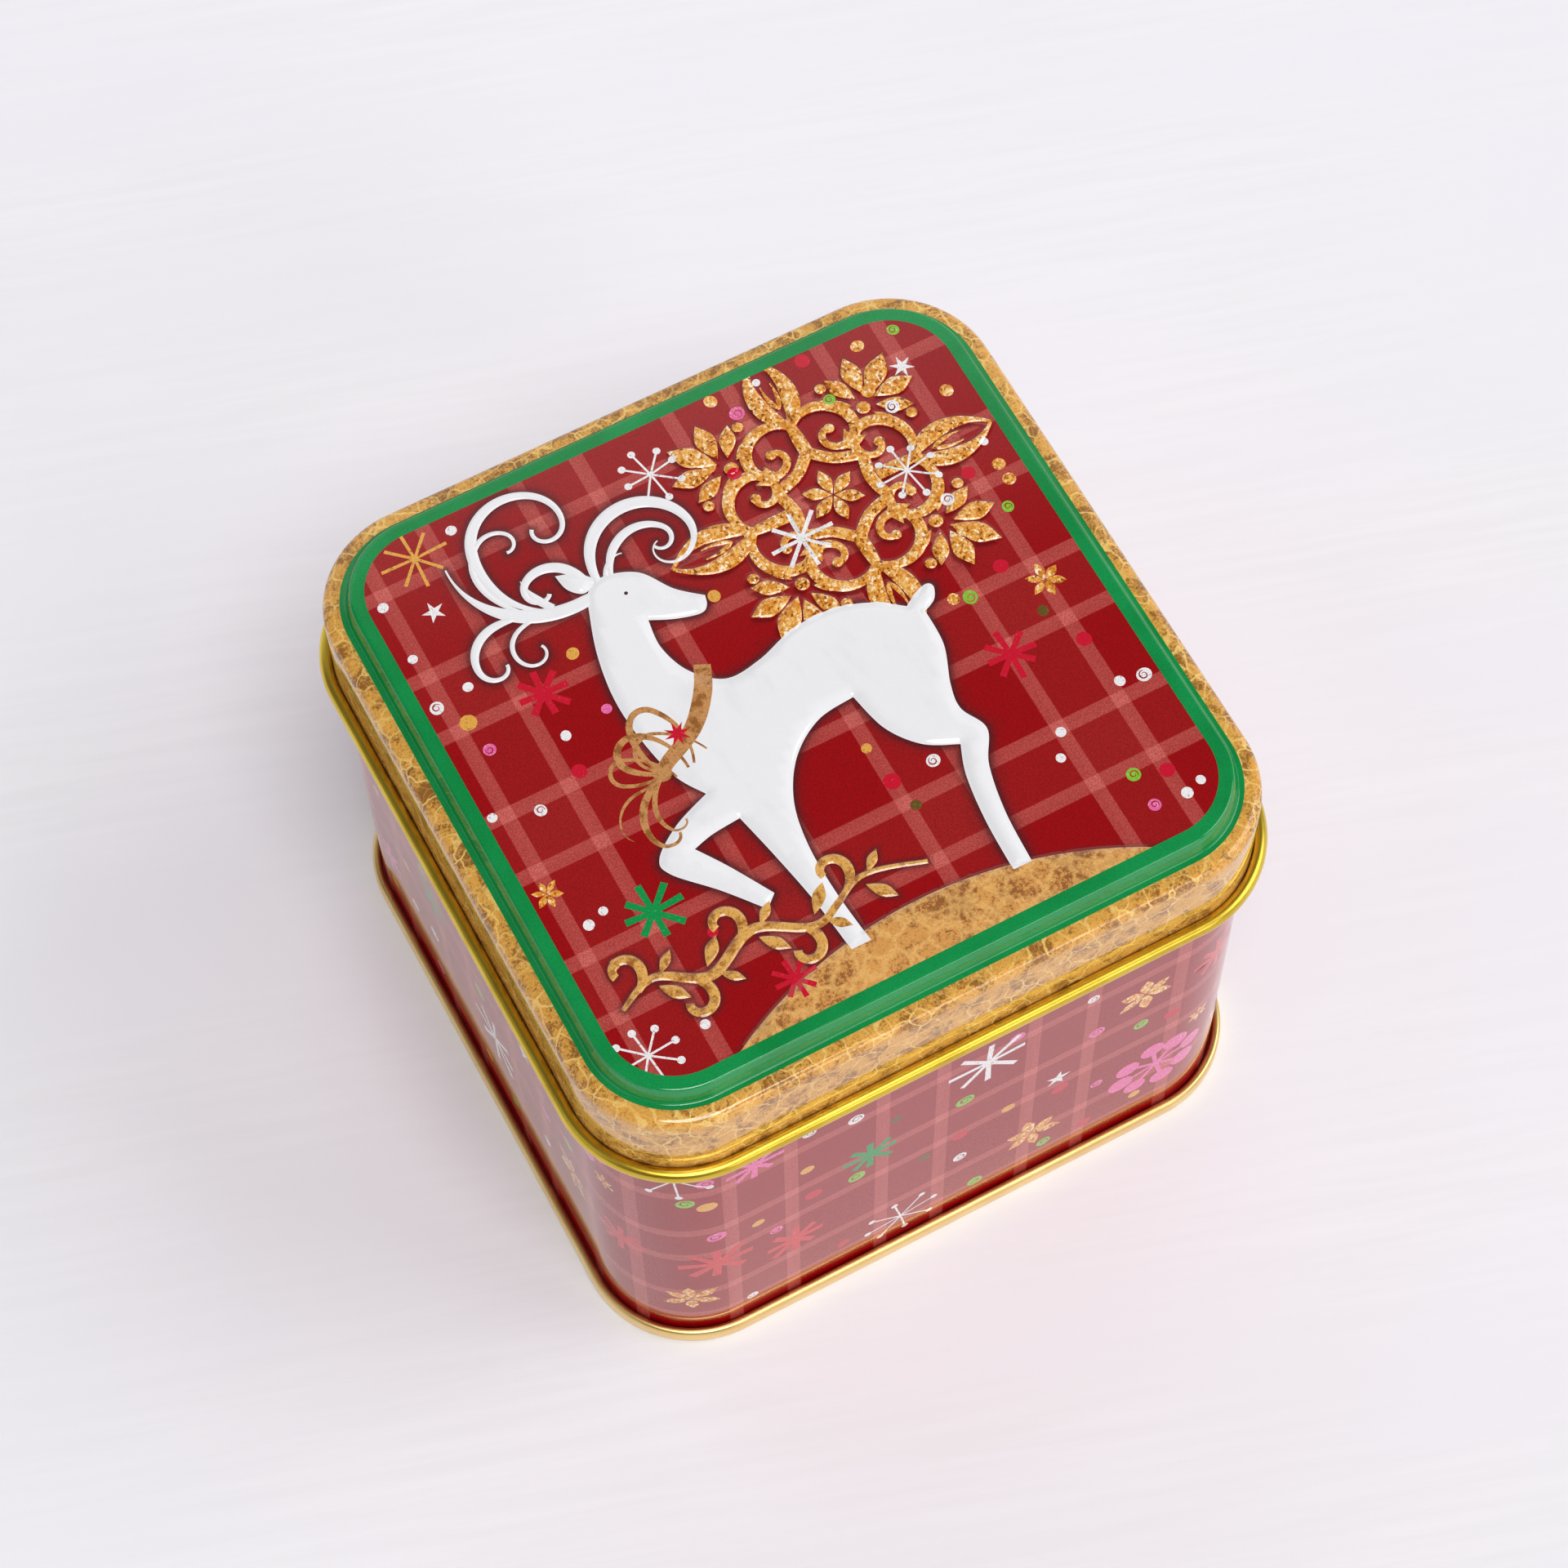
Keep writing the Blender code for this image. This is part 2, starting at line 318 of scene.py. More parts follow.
def ornament_shapes():
    """A round ornament: a six-sided ring round a flower, then scrolls, loops and leaves on four arms."""
    shapes = []

    def add(outline, degrees, mirrored=False):
        shapes.append(turned(outline, degrees, ORNAMENT, mirrored))

    here = np.array((0.0, 7.6))
    there = turned([here], -60, (0, 0))[0]
    side = smooth([here, (here + there) / 2 * 0.88, there], closed=False)
    for k in range(6):
        add(brush(side, 1.7, 1.0, 1.0), 60 * k)
        add(leaf((0, 0.2), (0, 4.3), 1.8), 60 * k)
    stem = smooth([(0, 6.8), (0, 13.6)], closed=False)
    scroll = tendril(0.1, 11.8, 60, [(-60, 3.6, 3.8), (-92, 4.9, 4.2), (-150, 3.1, 2.2), (-140, 1.7, 0.9)])
    loop = tendril(0.0, 12.4, 46, [(88, 8.6, 8.6)])
    vein = tendril(0.0, 15.4, 62, [(34, 6.0, 9.0)])
    for arm in (0, 90, 180, 270):
        between = arm + 45
        add(brush(stem, 1.9, 1.0, 0.6), arm)
        for mirrored in (False, True):
            add(brush(scroll, 1.75, 0.4, 0.55), arm, mirrored)
            add(disc(*scroll[-1], 0.75), arm, mirrored)
            add(brush(loop, 2.5, 0.25, 0.2), arm, mirrored)
            add(brush(vein, 0.7, 0.3, 0.3), arm, mirrored)
            add(leaf((0.9, 16.6), (5.0, 21.2), 2.7), between, mirrored)
            add(leaf((1.5, 15.4), (6.4, 17.0), 2.2), between, mirrored)
            add(leaf((1.5, 14.2), (5.4, 13.2), 1.5), between, mirrored)
            add(disc(6.4, 15.6, 0.8), arm, mirrored)
        add(leaf((0, 16.4), (0, 23.6), 3.0), between)
        add(disc(0, 14.4, 1.0), between)
        add([(-0.9, 7.6), (0.9, 7.6), (1.6, 10.4), (0, 9.7), (-1.6, 10.4)], between)
    return shapes


def flourish_shapes():
    """A leafy vine along the foot of the picture."""
    vine = [
        (-40.5, -32.0), (-35.0, -29.8), (-28.4, -33.0), (-20.8, -29.8), (-13.0, -33.2), (-5.0, -29.8),
        (3.6, -32.0),
    ]
    shapes = [brush(smooth(vine, closed=False), 1.5, 0.4, 0.4)]
    for k, x in enumerate((-37.6, -30.9, -23.2, -15.4, -7.6)):
        up = 1 if k % 2 == 0 else -1
        y = -31.4 + 0.8 * up
        scroll = tendril(x, y, up * 30, [(up * 60, 3.6, 3.0), (up * 210, 2.3, 1.0)])
        shapes.append(brush(scroll, 1.4, 0.6, 0.8))
        shapes.append(leaf((x + 2.6, y - 0.5 * up), (x + 5.6, y - 3.9 * up), 1.7))
        shapes.append(leaf((x + 3.6, y + 0.9 * up), (x + 6.2, y + 3.3 * up), 1.3))
    return shapes


def hill_shape():
    """The gold hill: the part of a large disc that shows above the border."""
    top, radius, half_width = -36.2, 61.6, 31.5
    spread = math.degrees(math.asin(half_width / radius))
    turns = np.radians(90 + np.linspace(spread, -spread, 90))
    arc_points = np.stack([radius * np.cos(turns), top - radius + radius * np.sin(turns)], axis=1)
    below = [(half_width, -45.0), (-half_width, -45.0)]
    return np.concatenate([arc_points, below])


# ==== confetti

# Dots are (x, y, radius), asterisks (ink, x, y, length, width), bursts (x, y, length), and stars
# (ink, x, y, radius, points)
LID_DOTS = {
    "white_ink": [
        (-42, 35.2, 0.8), (-41.9, 26.3, 0.7), (-42.3, 18.2, 1), (-37.3, 19.1, 0.75), (-28.8, 41.6, 0.8),
        (-29.2, 6.5, 0.8), (-43, 0.3, 0.7), (-37, -1.7, 0.9), (-38.9, -19.3, 0.8), (-36.4, -18.4, 0.65),
        (-32.2, -38.6, 0.7), (11.3, -19.6, 1), (28, -23.9, 0.75), (26.1, -27.2, 0.7), (38.6, -21, 0.8),
        (41.9, -21.7, 1.1), (38, -39.4, 0.85), (40.5, -38.6, 0.7), (18.2, 42.7, 0.6), (32.7, 30.4, 1),
        (32.2, 14, 1), (41, 19.6, 0.6),
    ],
    "pink_ink": [(-38.9, 9.4, 0.9), (-22.7, 7.5, 0.75), (13.6, 39.6, 1.1), (33.4, -38.9, 0.9)],
    "crimson_ink": [
        (-30, 1, 1.1), (25.4, 42.8, 1.1), (8.8, 31.2, 1), (36.7, 16.3, 1), (33.4, 1.6, 1.1),
        (37.6, -13.3, 1.1), (5.1, -19.7, 1.2), (-25.4, -27.7, 0.8), (37.4, -35.3, 1.1),
    ],
    "lime_ink": [
        (25.7, 35.5, 0.9), (38.8, 41.3, 0.9), (38.8, 9.2, 0.9), (27.5, -0.6, 1.1), (33.2, -33.8, 1),
    ],
    "olive_ink": [(35, -7, 0.85), (6.2, -24.2, 0.8)],
    "gold_ink": [
        (-39.6, 14.3, 1.2), (-22.9, 17, 0.95), (-2.4, 15.8, 0.95), (4.5, -13.9, 0.75), (-38.5, -25.8, 0.75),
    ],
    "glitter": [
        (6.3, 33.9, 1), (31, 34.2, 1), (40.5, 29.2, 1), (41, 15.6, 0.95), (41.1, 12.9, 0.95),
        (31.8, 8.9, 1), (25.4, 0.2, 0.9), (11.3, 43, 1), (33.2, 41.3, 1),
    ],
}
LID_ASTERISKS = [
    ("crimson_ink", -29, 13.5, 4.1, 0.8), ("crimson_ink", 28, -10.7, 4, 0.75),
    ("crimson_ink", -19.2, -38.5, 3.2, 0.6), ("green_ink", -30.8, -21.6, 4.4, 0.8),
    ("white_ink", 12, 18, 4.9, 0.5), ("gold_ink", -35, 40, 4.9, 0.4),
]
LID_BURSTS = [(-1.2, 36.6, 4.4), (29.6, 20.6, 4.4), (-40.5, -39, 4.4)]
LID_STARS = [
    ("white_ink", -36.3, 31.4, 1.7, 5), ("gold_ink", 37.6, -3, 2.8, 6),
    ("gold_ink", -41.7, -12.8, 2.2, 6), ("white_ink", 37, 35.5, 1.8, 6),
]

# On the wall x is along the side from its middle, and y is the height above the foot
WALL_DOTS = {
    "white_ink": [
        (-16.2, 54.3, 1.3), (20, 54.5, 1), (0.5, 20.8, 1.2), (-32.6, 7.7, 0.9), (-23.2, 57.5, 1.1),
    ],
    "lime_ink": [
        (0.7, 41.2, 1.5), (-16, 33.3, 1.4), (28.7, 36.5, 1.3), (-41.3, 50.5, 1.4), (14.5, 10, 1.2),
        (3.3, 8.2, 1.3),
    ],
    "olive_ink": [(-5.3, 27.7, 1), (-10, 47, 1)],
    "pink_ink": [
        (-38.5, 56.8, 1.3), (-37.4, 36.5, 1.5), (-28.5, 28.5, 1.1), (21.3, 41.8, 1.3), (22.5, 22.3, 1),
        (8.3, 54.5, 1.2),
    ],
    "gold_ink": [
        (-38.4, 48.4, 1.5), (-23.6, 45, 1.1), (-31.2, 34.6, 1), (7.9, 30.2, 1.1), (29.5, 10.5, 1),
        (4.4, 50.2, 1),
    ],
    "crimson_ink": [
        (-22.7, 34.9, 1.4), (0.3, 29.2, 1.4), (16.3, 27.8, 1.4), (33.8, 34.8, 1.3), (21.2, 9.5, 1.2),
        (-18, 10, 1),
    ],
}
WALL_ASTERISKS = [
    ("green_ink", -13.8, 39, 4.5, 0.9), ("white_ink", 4, 50.8, 6.6, 0.75),
    ("coral_ink", -37.5, 26.5, 5.6, 1.1), ("coral_ink", -25.7, 21.5, 5, 1),
    ("pink_ink", -31.3, 56, 4.4, 0.8), ("coral_ink", 41, 45.5, 4.6, 0.9),
]
WALL_BURSTS = [(-8.8, 9.3, 5.8), (-42.6, 59, 6.5)]
WALL_STARS = [
    ("gold_ink", 28.7, 46.8, 4.8, 6), ("gold_ink", 12.2, 16, 4.9, 6), ("white_ink", 15.7, 32, 2.1, 5),
    ("gold_ink", -41.6, 14, 4.6, 6), ("gold_ink", 39, 28, 2.2, 6),
]
WALL_BLOSSOM = (32.5, 18.5, 7.2)
# The row of dots that the lid's skirt hides: where it starts, how far apart they lie, and their radius
UPPER_DOTS = ["gold_ink", "pink_ink", "gold_ink", "lime_ink", "crimson_ink"]
UPPER_START = (-28.0, 67.0)
UPPER_SPACING = 13
UPPER_RADIUS = 1.2


def blossom(x, y, radius, hand):
    """Fine arms that each end in one fat round petal."""
    parts = []
    for k in range(8):
        tilt = 45 * k + 12 + hand.uniform(-3, 3)
        reach = radius * hand.uniform(0.74, 0.84)
        parts.append(bar(x, y, tilt, reach, 0.7))
        parts.append(disc(*polar(x, y, reach, tilt + 90), radius * hand.uniform(0.24, 0.29)))
    return parts


# White, lime and pink dots of at least this radius show a spiral gap, this share of their radius wide
SCRIBBLED = 0.9
SCRIBBLE_SHARE = 0.2


def petal_star(x, y, radius, points, tilt, hand):
    """A star of loose brush petals."""
    petals = []
    for k in range(points):
        angle = 90 + tilt + 360 * k / points + hand.uniform(-5, 5)
        tip = polar(x, y, radius * hand.uniform(0.86, 1.05), angle)
        petals.append(leaf(polar(x, y, radius * 0.04, angle), tip, radius * hand.uniform(0.34, 0.44)))
    return petals


def scribble(x, y, radius, hand):
    """A fine spiral gap in a dot, as if it had been drawn with a round stroke of chalk."""
    start = hand.uniform(0, 360)
    bends = [(420, radius * 0.62, radius * 0.24)]
    line = tendril(*polar(x, y, radius * 0.62, start), start + 90, bends, step=0.2)
    return brush(line, SCRIBBLE_SHARE * radius, 0.4, 0.4)


def confetti(dots, asterisks, bursts, stars, hand, ground):
    """(ink, outline) for every piece of confetti in these lists, in the order they are printed.
    The ground is the ink that shows in the gaps of a dot."""
    shapes = []
    for ink, spots in dots.items():
        for x, y, radius in spots:
            shapes.append((ink, dot(x, y, radius, hand)))
            if ink in ("white_ink", "lime_ink", "pink_ink") and radius >= SCRIBBLED:
                shapes.append((ground, scribble(x, y, radius, hand)))
    for ink, x, y, length, width in asterisks:
        shapes += [(ink, stroke) for stroke in asterisk(x, y, length, width, hand)]
    for x, y, length in bursts:
        shapes += [("white_ink", part) for part in burst(x, y, length, hand)]
    for ink, x, y, radius, points in stars:
        tilt = hand.uniform(-12, 12)
        if ink == "white_ink":
            shapes.append((ink, star(x, y, radius, points, 0.36, tilt)))
        else:
            shapes += [("glitter", petal) for petal in petal_star(x, y, radius, points, tilt, hand)]
    return shapes


# ==== places on the tin


def around(run, reach, height):
    """Where a run lies on the rounded square of this reach. Run 0 is at the low end of the +X side."""
    run = np.mod(np.asarray(run, float), 4 * QUARTER)
    quarter = np.floor(run / QUARTER).astype(int)
    along = run - quarter * QUARTER
    bend = np.clip((along - FLAT) / CORNER_RADIUS, 0, math.pi / 2)
    x = CORNER_CENTRE + (reach - CORNER_CENTRE) * np.cos(bend)
    y = np.minimum(along, FLAT) - CORNER_CENTRE + (reach - CORNER_CENTRE) * np.sin(bend)
    cos, sin = np.array([1, 0, -1, 0])[quarter], np.array([0, 1, 0, -1])[quarter]
    return np.stack([cos * x - sin * y, sin * x + cos * y, np.broadcast_to(height, x.shape)], axis=-1)


def outward(run):
    """The direction straight out of the wall at a run."""
    step = around(run, WALL_REACH + 1, 0.0) - around(run, WALL_REACH, 0.0)
    return step / np.linalg.norm(step, axis=-1, keepdims=True)


def even_runs():
    """Runs all the way round, with closer ones in the corners."""
    side = np.linspace(0, FLAT, SIDE_STEPS, endpoint=False)
    corner = FLAT + np.linspace(0, QUARTER - FLAT, CORNER_STEPS, endpoint=False)
    return np.concatenate([quarter * QUARTER + np.concatenate([side, corner]) for quarter in range(4)])


def reach_of(points):
    """The reach of the rounded square that passes through each (x, y)."""
    past = np.maximum(np.abs(points) - CORNER_CENTRE, 0)
    return CORNER_CENTRE + np.hypot(past[:, 0], past[:, 1])


def arc(centre, radius, start, end, steps):
    """Points of a bend in the (reach, height) plane, both ends included."""
    turns = np.radians(np.linspace(start, end, steps + 1))
    return [(centre[0] + radius * math.cos(t), centre[1] + radius * math.sin(t)) for t in turns]


def far_side(profile, hand):
    """The same profile one sheet thickness away: to its right with hand 1, to its left with -1."""
    line = np.array(profile)
    ahead = np.gradient(line, axis=0)
    ahead /= np.linalg.norm(ahead, axis=1)[:, None]
    return line + hand * SHEET * np.stack([ahead[:, 1], -ahead[:, 0]], axis=1)


# ==== cutting a sheet along its artwork

# Points are worked on this many at a time, to keep the tables small
BATCH = 1500
# Rows and columns of fill points start this far from the middle
GRID_HALF = 45
# A point beside an outline stays if every outline is at least this share of its offset away
CLEAR_SHARE = 0.85


def crossings(points, outline):
    """How many times the outline runs counterclockwise round each point."""
    start, end = outline, np.roll(outline, -1, axis=0)
    along = end - start
    slope = along[:, 0] / np.where(np.abs(along[:, 1]) < 1e-12, 1e-12, along[:, 1])
    turns = np.empty(len(points), int)
    for first in range(0, len(points), BATCH):
        x, y = points[first : first + BATCH, None, 0], points[first : first + BATCH, None, 1]
        to_right = x < start[:, 0] + slope * (y - start[:, 1])
        upward = (start[:, 1] <= y) & (y < end[:, 1])
        downward = (end[:, 1] <= y) & (y < start[:, 1])
        turns[first : first + BATCH] = (to_right & upward).sum(1) - (to_right & downward).sum(1)
    return turns


def boxed(points, outline, margin=0.0):
    """The numbers of the points in the outline's box, widened by the margin."""
    low, high = outline.min(0) - margin, outline.max(0) + margin
    return np.flatnonzero(((points > low) & (points < high)).all(1))


def cut_sheet(border, shapes, fill, clipped):
    """Triangles inside the border with every shape's outline among their edges.

    Returns the points, the triangles, and for each triangle the number of the last shape it lies in, or -1.
    When clipped, the other shapes show only inside the first."""
    spots = [Vector(p) for p in border]
    loops = [list(range(len(border)))]
    for outline in shapes:
        loops.append(list(range(len(spots), len(spots) + len(outline))))
        spots += [Vector(p) for p in outline]
    spots += [Vector(p) for p in fill]
    points, _, faces, _, _, _ = geometry.delaunay_2d_cdt(spots, [], loops, 0, 1e-5, False)
    points = np.array([tuple(p) for p in points])
    triangles = np.array(faces)
    middles = points[triangles].mean(1)
    within = crossings(middles, np.array(border, float)) != 0
    triangles, middles = triangles[within], middles[within]
    top = np.full(len(triangles), -1)
    for number, outline in enumerate(shapes):
        near = boxed(middles, outline)
        if clipped and number:
            near = near[top[near] >= 0]
        top[near[crossings(middles[near], outline) != 0]] = number
    return points, triangles, top


def depth_inside(points, outline):
    """How far inside the outline each point lies, negative outside it, and the way to go deeper."""
    start, end = outline, np.roll(outline, -1, axis=0)
    along = end - start
    square = np.maximum((along**2).sum(1), 1e-12)
    away = np.empty((len(points), 2))
    for first in range(0, len(points), BATCH):
        offset = points[first : first + BATCH, None, :] - start
        share = np.clip((offset * along).sum(2) / square, 0, 1)
        offset -= share[..., None] * along
        nearest = (offset**2).sum(2).argmin(1)
        away[first : first + BATCH] = offset[np.arange(len(nearest)), nearest]
    distance = np.linalg.norm(away, axis=1)
    side = np.where(crossings(points, outline) != 0, 1.0, -1.0)
    return distance * side, away * (side / np.maximum(distance, 1e-9))[:, None]


def deepest(points, outlines, margin):
    """Each point's depth inside the outline that it's deepest in, from -margin, and the way to go deeper."""
    best = np.full(len(points), -margin, float)
    deeper = np.zeros((len(points), 2))
    for outline in outlines:
        near = boxed(points, outline, margin)
        if len(near):
            depth, way = depth_inside(points[near], outline)
            better = depth > best[near]
            best[near[better]] = depth[better]
            deeper[near[better]] = way[better]
    return best, deeper


def ramp(value, low, high):
    """0 below low, 1 above high, and a smooth rise between."""
    share = np.clip((value - low) / (high - low), 0, 1)
    return share * share * (3 - 2 * share)


def ramp_slope(value, low, high):
    share = np.clip((value - low) / (high - low), 0, 1)
    return 6 * share * (1 - share) / (high - low)


def signed_area(outline):
    """Twice the area inside the outline, negative if it runs clockwise."""
    ahead = np.roll(outline, -1, axis=0)
    return (outline[:, 0] * ahead[:, 1] - outline[:, 1] * ahead[:, 0]).sum()


def beside_outlines(outlines, offsets):
    """Points at each offset out from the outlines, without those that another stretch is nearer to."""
    samples = np.concatenate(outlines)
    tree = kdtree.KDTree(len(samples))
    for number, (x, y) in enumerate(samples):
        tree.insert((x, y, 0), number)
    tree.balance()
    found = []
    for outline in outlines:
        ahead = np.roll(outline, -1, axis=0) - np.roll(outline, 1, axis=0)
        ahead /= np.maximum(np.linalg.norm(ahead, axis=1)[:, None], 1e-9)
        aside = np.stack([ahead[:, 1], -ahead[:, 0]], axis=1) * np.sign(signed_area(outline))
        for offset in offsets:
            for x, y in outline + aside * offset:
                if tree.find((x, y, 0))[2] > CLEAR_SHARE * abs(offset):
                    found.append((x, y))
    return found


def grid_points(spacing):
    """Points in rows and columns over the whole of the lid or the base."""
    line = np.arange(-GRID_HALF, GRID_HALF + 0.1, spacing)
    return [(x, y) for x in line for y in line]


def thinned(points, spacing):
    """The points without those that share a square of this spacing."""
    seen = {}
    for x, y in points:
        seen.setdefault((round(x / spacing), round(y / spacing)), (x, y))
    return list(seen.values())


# ==== materials


def srgb(red, green, blue):
    """A colour given as it looks on a screen, 0 to 255, as the shader wants it."""
    parts = [c / 255 for c in (red, green, blue)]
    return (*[c / 12.92 if c <= 0.04045 else ((c + 0.055) / 1.055) ** 2.4 for c in parts], 1.0)


class Paint:
    """A material being built, with short ways to add the nodes that it needs. It starts as varnish."""

    def __init__(
        self, name, roughness=0.5, metallic=0.0, specular=0.0, coat=1.0, coat_roughness=0.07, coat_ior=1.6
    ):
        self.material = bpy.data.materials.new(name)
        self.material.use_nodes = True
        self.tree = self.material.node_tree
        self.shader = self.tree.nodes["Principled BSDF"]
        for socket, value in (
            ("Roughness", roughness), ("Metallic", metallic), ("Specular IOR Level", specular),
            ("Coat Weight", coat), ("Coat Roughness", coat_roughness), ("Coat IOR", coat_ior),
        ):
            self.shader.inputs[socket].default_value = value
        values = {0: self.add("ShaderNodeTexCoord").outputs["Object"], "Scale": 1 / MM}
        self.place = self.add("ShaderNodeVectorMath", values, operation="SCALE").outputs[0]

    def feed(self, socket, value):
        if isinstance(value, bpy.types.NodeSocket):
            self.tree.links.new(value, socket)
        else:
            socket.default_value = value

    def add(self, kind, values=(), **settings):
        node = self.tree.nodes.new(kind)
        for key, value in settings.items():
            setattr(node, key, value)
        for socket, value in dict(values).items():
            self.feed(node.inputs[socket], value)
        return node

    def math(self, operation, *values, clamp=False):
        return self.add("ShaderNodeMath", enumerate(values), operation=operation, use_clamp=clamp).outputs[0]

    def span(self, value, low, high, to_low=0.0, to_high=1.0):
        """The value from low to high, smoothly, as a number from to_low to to_high."""
        values = {"Value": value, "From Min": low, "From Max": high, "To Min": to_low, "To Max": to_high}
        return self.add("ShaderNodeMapRange", values, interpolation_type="SMOOTHSTEP").outputs[0]

    def noise(self, scale, detail, place=None, roughness=0.5, distortion=0.0):
        values = {
            "Vector": place or self.place, "Scale": scale, "Detail": detail,
            "Roughness": roughness, "Distortion": distortion,
        }
        return self.add("ShaderNodeTexNoise", values).outputs["Fac"]

    def grains(self, scale):
        """Cells of this scale, each with a tone of its own."""
        return self.add("ShaderNodeTexVoronoi", {"Vector": self.place, "Scale": scale}).outputs["Color"]

    def creases(self, place, scale, width, strength):
        """Lines between cells of this scale, strongest in their middle."""
        values = {"Vector": place, "Scale": scale}
        edge = self.add("ShaderNodeTexVoronoi", values, feature="DISTANCE_TO_EDGE").outputs["Distance"]
        return self.span(edge, 0.0, width, strength, 0.0)

    def mix(self, share, first, second, blend="MIX"):
        values = {0: share, 6: first, 7: second}
        return self.add("ShaderNodeMix", data_type="RGBA", blend_type=blend, values=values).outputs[2]

    def stretched(self, x, y, z):
        values = {0: self.place, 1: (x, y, z)}
        return self.add("ShaderNodeVectorMath", values, operation="MULTIPLY").outputs[0]

    def bent(self, scale, detail, push):
        """The place pushed about by noise of this scale, by up to about half of the push in millimetres."""
        values = {"Vector": self.place, "Scale": scale, "Detail": detail}
        noise = self.add("ShaderNodeTexNoise", values).outputs["Color"]
        values = {0: noise, 1: (push, push, push), 2: self.place}
        return self.add("ShaderNodeVectorMath", values, operation="MULTIPLY_ADD").outputs[0]

    def finish(self, colour):
        self.feed(self.shader.inputs["Base Color"], colour)
        return self.material

    def printed(self, colour, strength):
        """The material in this colour, with the fine grain that offset printing leaves in every ink."""
        grain = self.span(self.noise(PRINT_RASTER, 1.0), 0.3, 0.7)
        share = self.math("MULTIPLY", grain, strength)
        return self.finish(self.mix(share, colour, (0.35, 0.3, 0.3, 1.0), blend="MULTIPLY"))


PRINT_RASTER = 4.5


def ink(name, colour, speck=None, speck_share=0.4, speck_scale=3.0):
    """A flat printed colour, with specks of a second one if it's given."""
    paint = Paint(name)
    shown = srgb(*colour)
    if speck:
        specks = paint.span(paint.noise(speck_scale, 3.0), 1 - speck_share, 1 - speck_share + 0.12)
        shown = paint.mix(specks, shown, srgb(*speck))
    return paint.printed(shown, 0.22)


PLAID_PERIOD = 4 * QUARTER / 16
PLAID_PAIR = 4.6
PLAID_BAND = 2.1
PLAID_SOFTNESS = 0.1


def plaid(name, phases, uv_map=None):
    """Red plaid: pairs of pale bands both ways, over x and y or over a UV map in millimetres."""
    paint = Paint(name)
    place = paint.add("ShaderNodeUVMap", uv_map=uv_map).outputs[0] if uv_map else paint.place
    across = paint.add("ShaderNodeSeparateXYZ", {0: place}).outputs
    soft = PLAID_SOFTNESS
    total = 0.0
    for value, phase in zip(across, phases):
        apart = paint.math("PINGPONG", paint.math("SUBTRACT", value, phase), PLAID_PERIOD / 2)
        from_band = paint.math("ABSOLUTE", paint.math("SUBTRACT", apart, PLAID_PAIR))
        band = paint.span(from_band, PLAID_BAND / 2 - soft, PLAID_BAND / 2 + soft, 0.33, 0.0)
        between = paint.span(apart, PLAID_PAIR - soft, PLAID_PAIR + soft, 0.03, 0.0)
        total = paint.math("ADD", total, paint.math("ADD", band, between))
    grain = paint.span(paint.noise(5.0, 1.0), 0.35, 0.65, 0.75, 1.25)
    colour = paint.mix(paint.math("MULTIPLY", total, grain), srgb(160, 3, 10), srgb(228, 122, 112))
    shade = paint.add("ShaderNodeAttribute", attribute_name="shade").outputs["Fac"]
    colour = paint.mix(paint.math("MAXIMUM", shade, 0.0), colour, srgb(72, 30, 34))
    fall = paint.math("MAXIMUM", paint.math("MULTIPLY", shade, -1.0), 0.0)
    return paint.printed(paint.mix(fall, colour, srgb(112, 0, 6)), 0.42)


def glitter(name):
    """Printed gold glitter: small grains from brown to cream."""
    paint = Paint(name)
    coarse = paint.math("MULTIPLY", paint.grains(2.4), 0.55)
    fine = paint.math("MULTIPLY", paint.grains(4.2), 0.3)
    drift = paint.math("MULTIPLY", paint.noise(0.5, 2.0), 0.25)
    tone = paint.math("ADD", paint.math("ADD", coarse, fine), drift)
    colour = paint.mix(paint.span(tone, 0.26, 0.44), srgb(120, 58, 8), srgb(222, 142, 44))
    colour = paint.mix(paint.span(tone, 0.5, 0.66), colour, srgb(246, 192, 104))
    return paint.printed(paint.mix(paint.span(tone, 0.7, 0.8), colour, srgb(255, 248, 226)), 0.12)


def foil(name, light, worn_colour):
    """Printed antique gold, mottled with brown."""
    paint = Paint(name)
    worn = paint.span(paint.noise(0.55, 4.0, roughness=0.7), 0.46, 0.62)
    fine = paint.span(paint.noise(3.5, 3.0), 0.5, 0.75)
    colour = paint.mix(worn, srgb(*light), srgb(*worn_colour))
    return paint.printed(paint.mix(paint.math("MULTIPLY", fine, 0.6), colour, srgb(132, 80, 32)), 0.2)


def hill_gold(name):
    """The hill's gold: clusters of brown mottling between pale leathery creases."""
    paint = Paint(name)
    fine = paint.math("MULTIPLY", paint.noise(1.7, 5.0, roughness=0.8), 1.6)
    brown = paint.span(paint.math("ADD", paint.noise(0.2, 2.0), fine), 1.22, 1.46, 0.0, 0.95)
    specks = paint.span(paint.noise(3.2, 3.0), 0.5, 0.7, 0.0, 0.4)
    colour = paint.mix(brown, srgb(224, 162, 88), srgb(146, 90, 48))
    creases = paint.creases(paint.bent(0.4, 4.0, 3.0), 0.3, 0.17, 0.6)
    colour = paint.mix(creases, colour, srgb(246, 194, 116))
    return paint.printed(paint.mix(specks, colour, srgb(168, 110, 56)), 0.16)


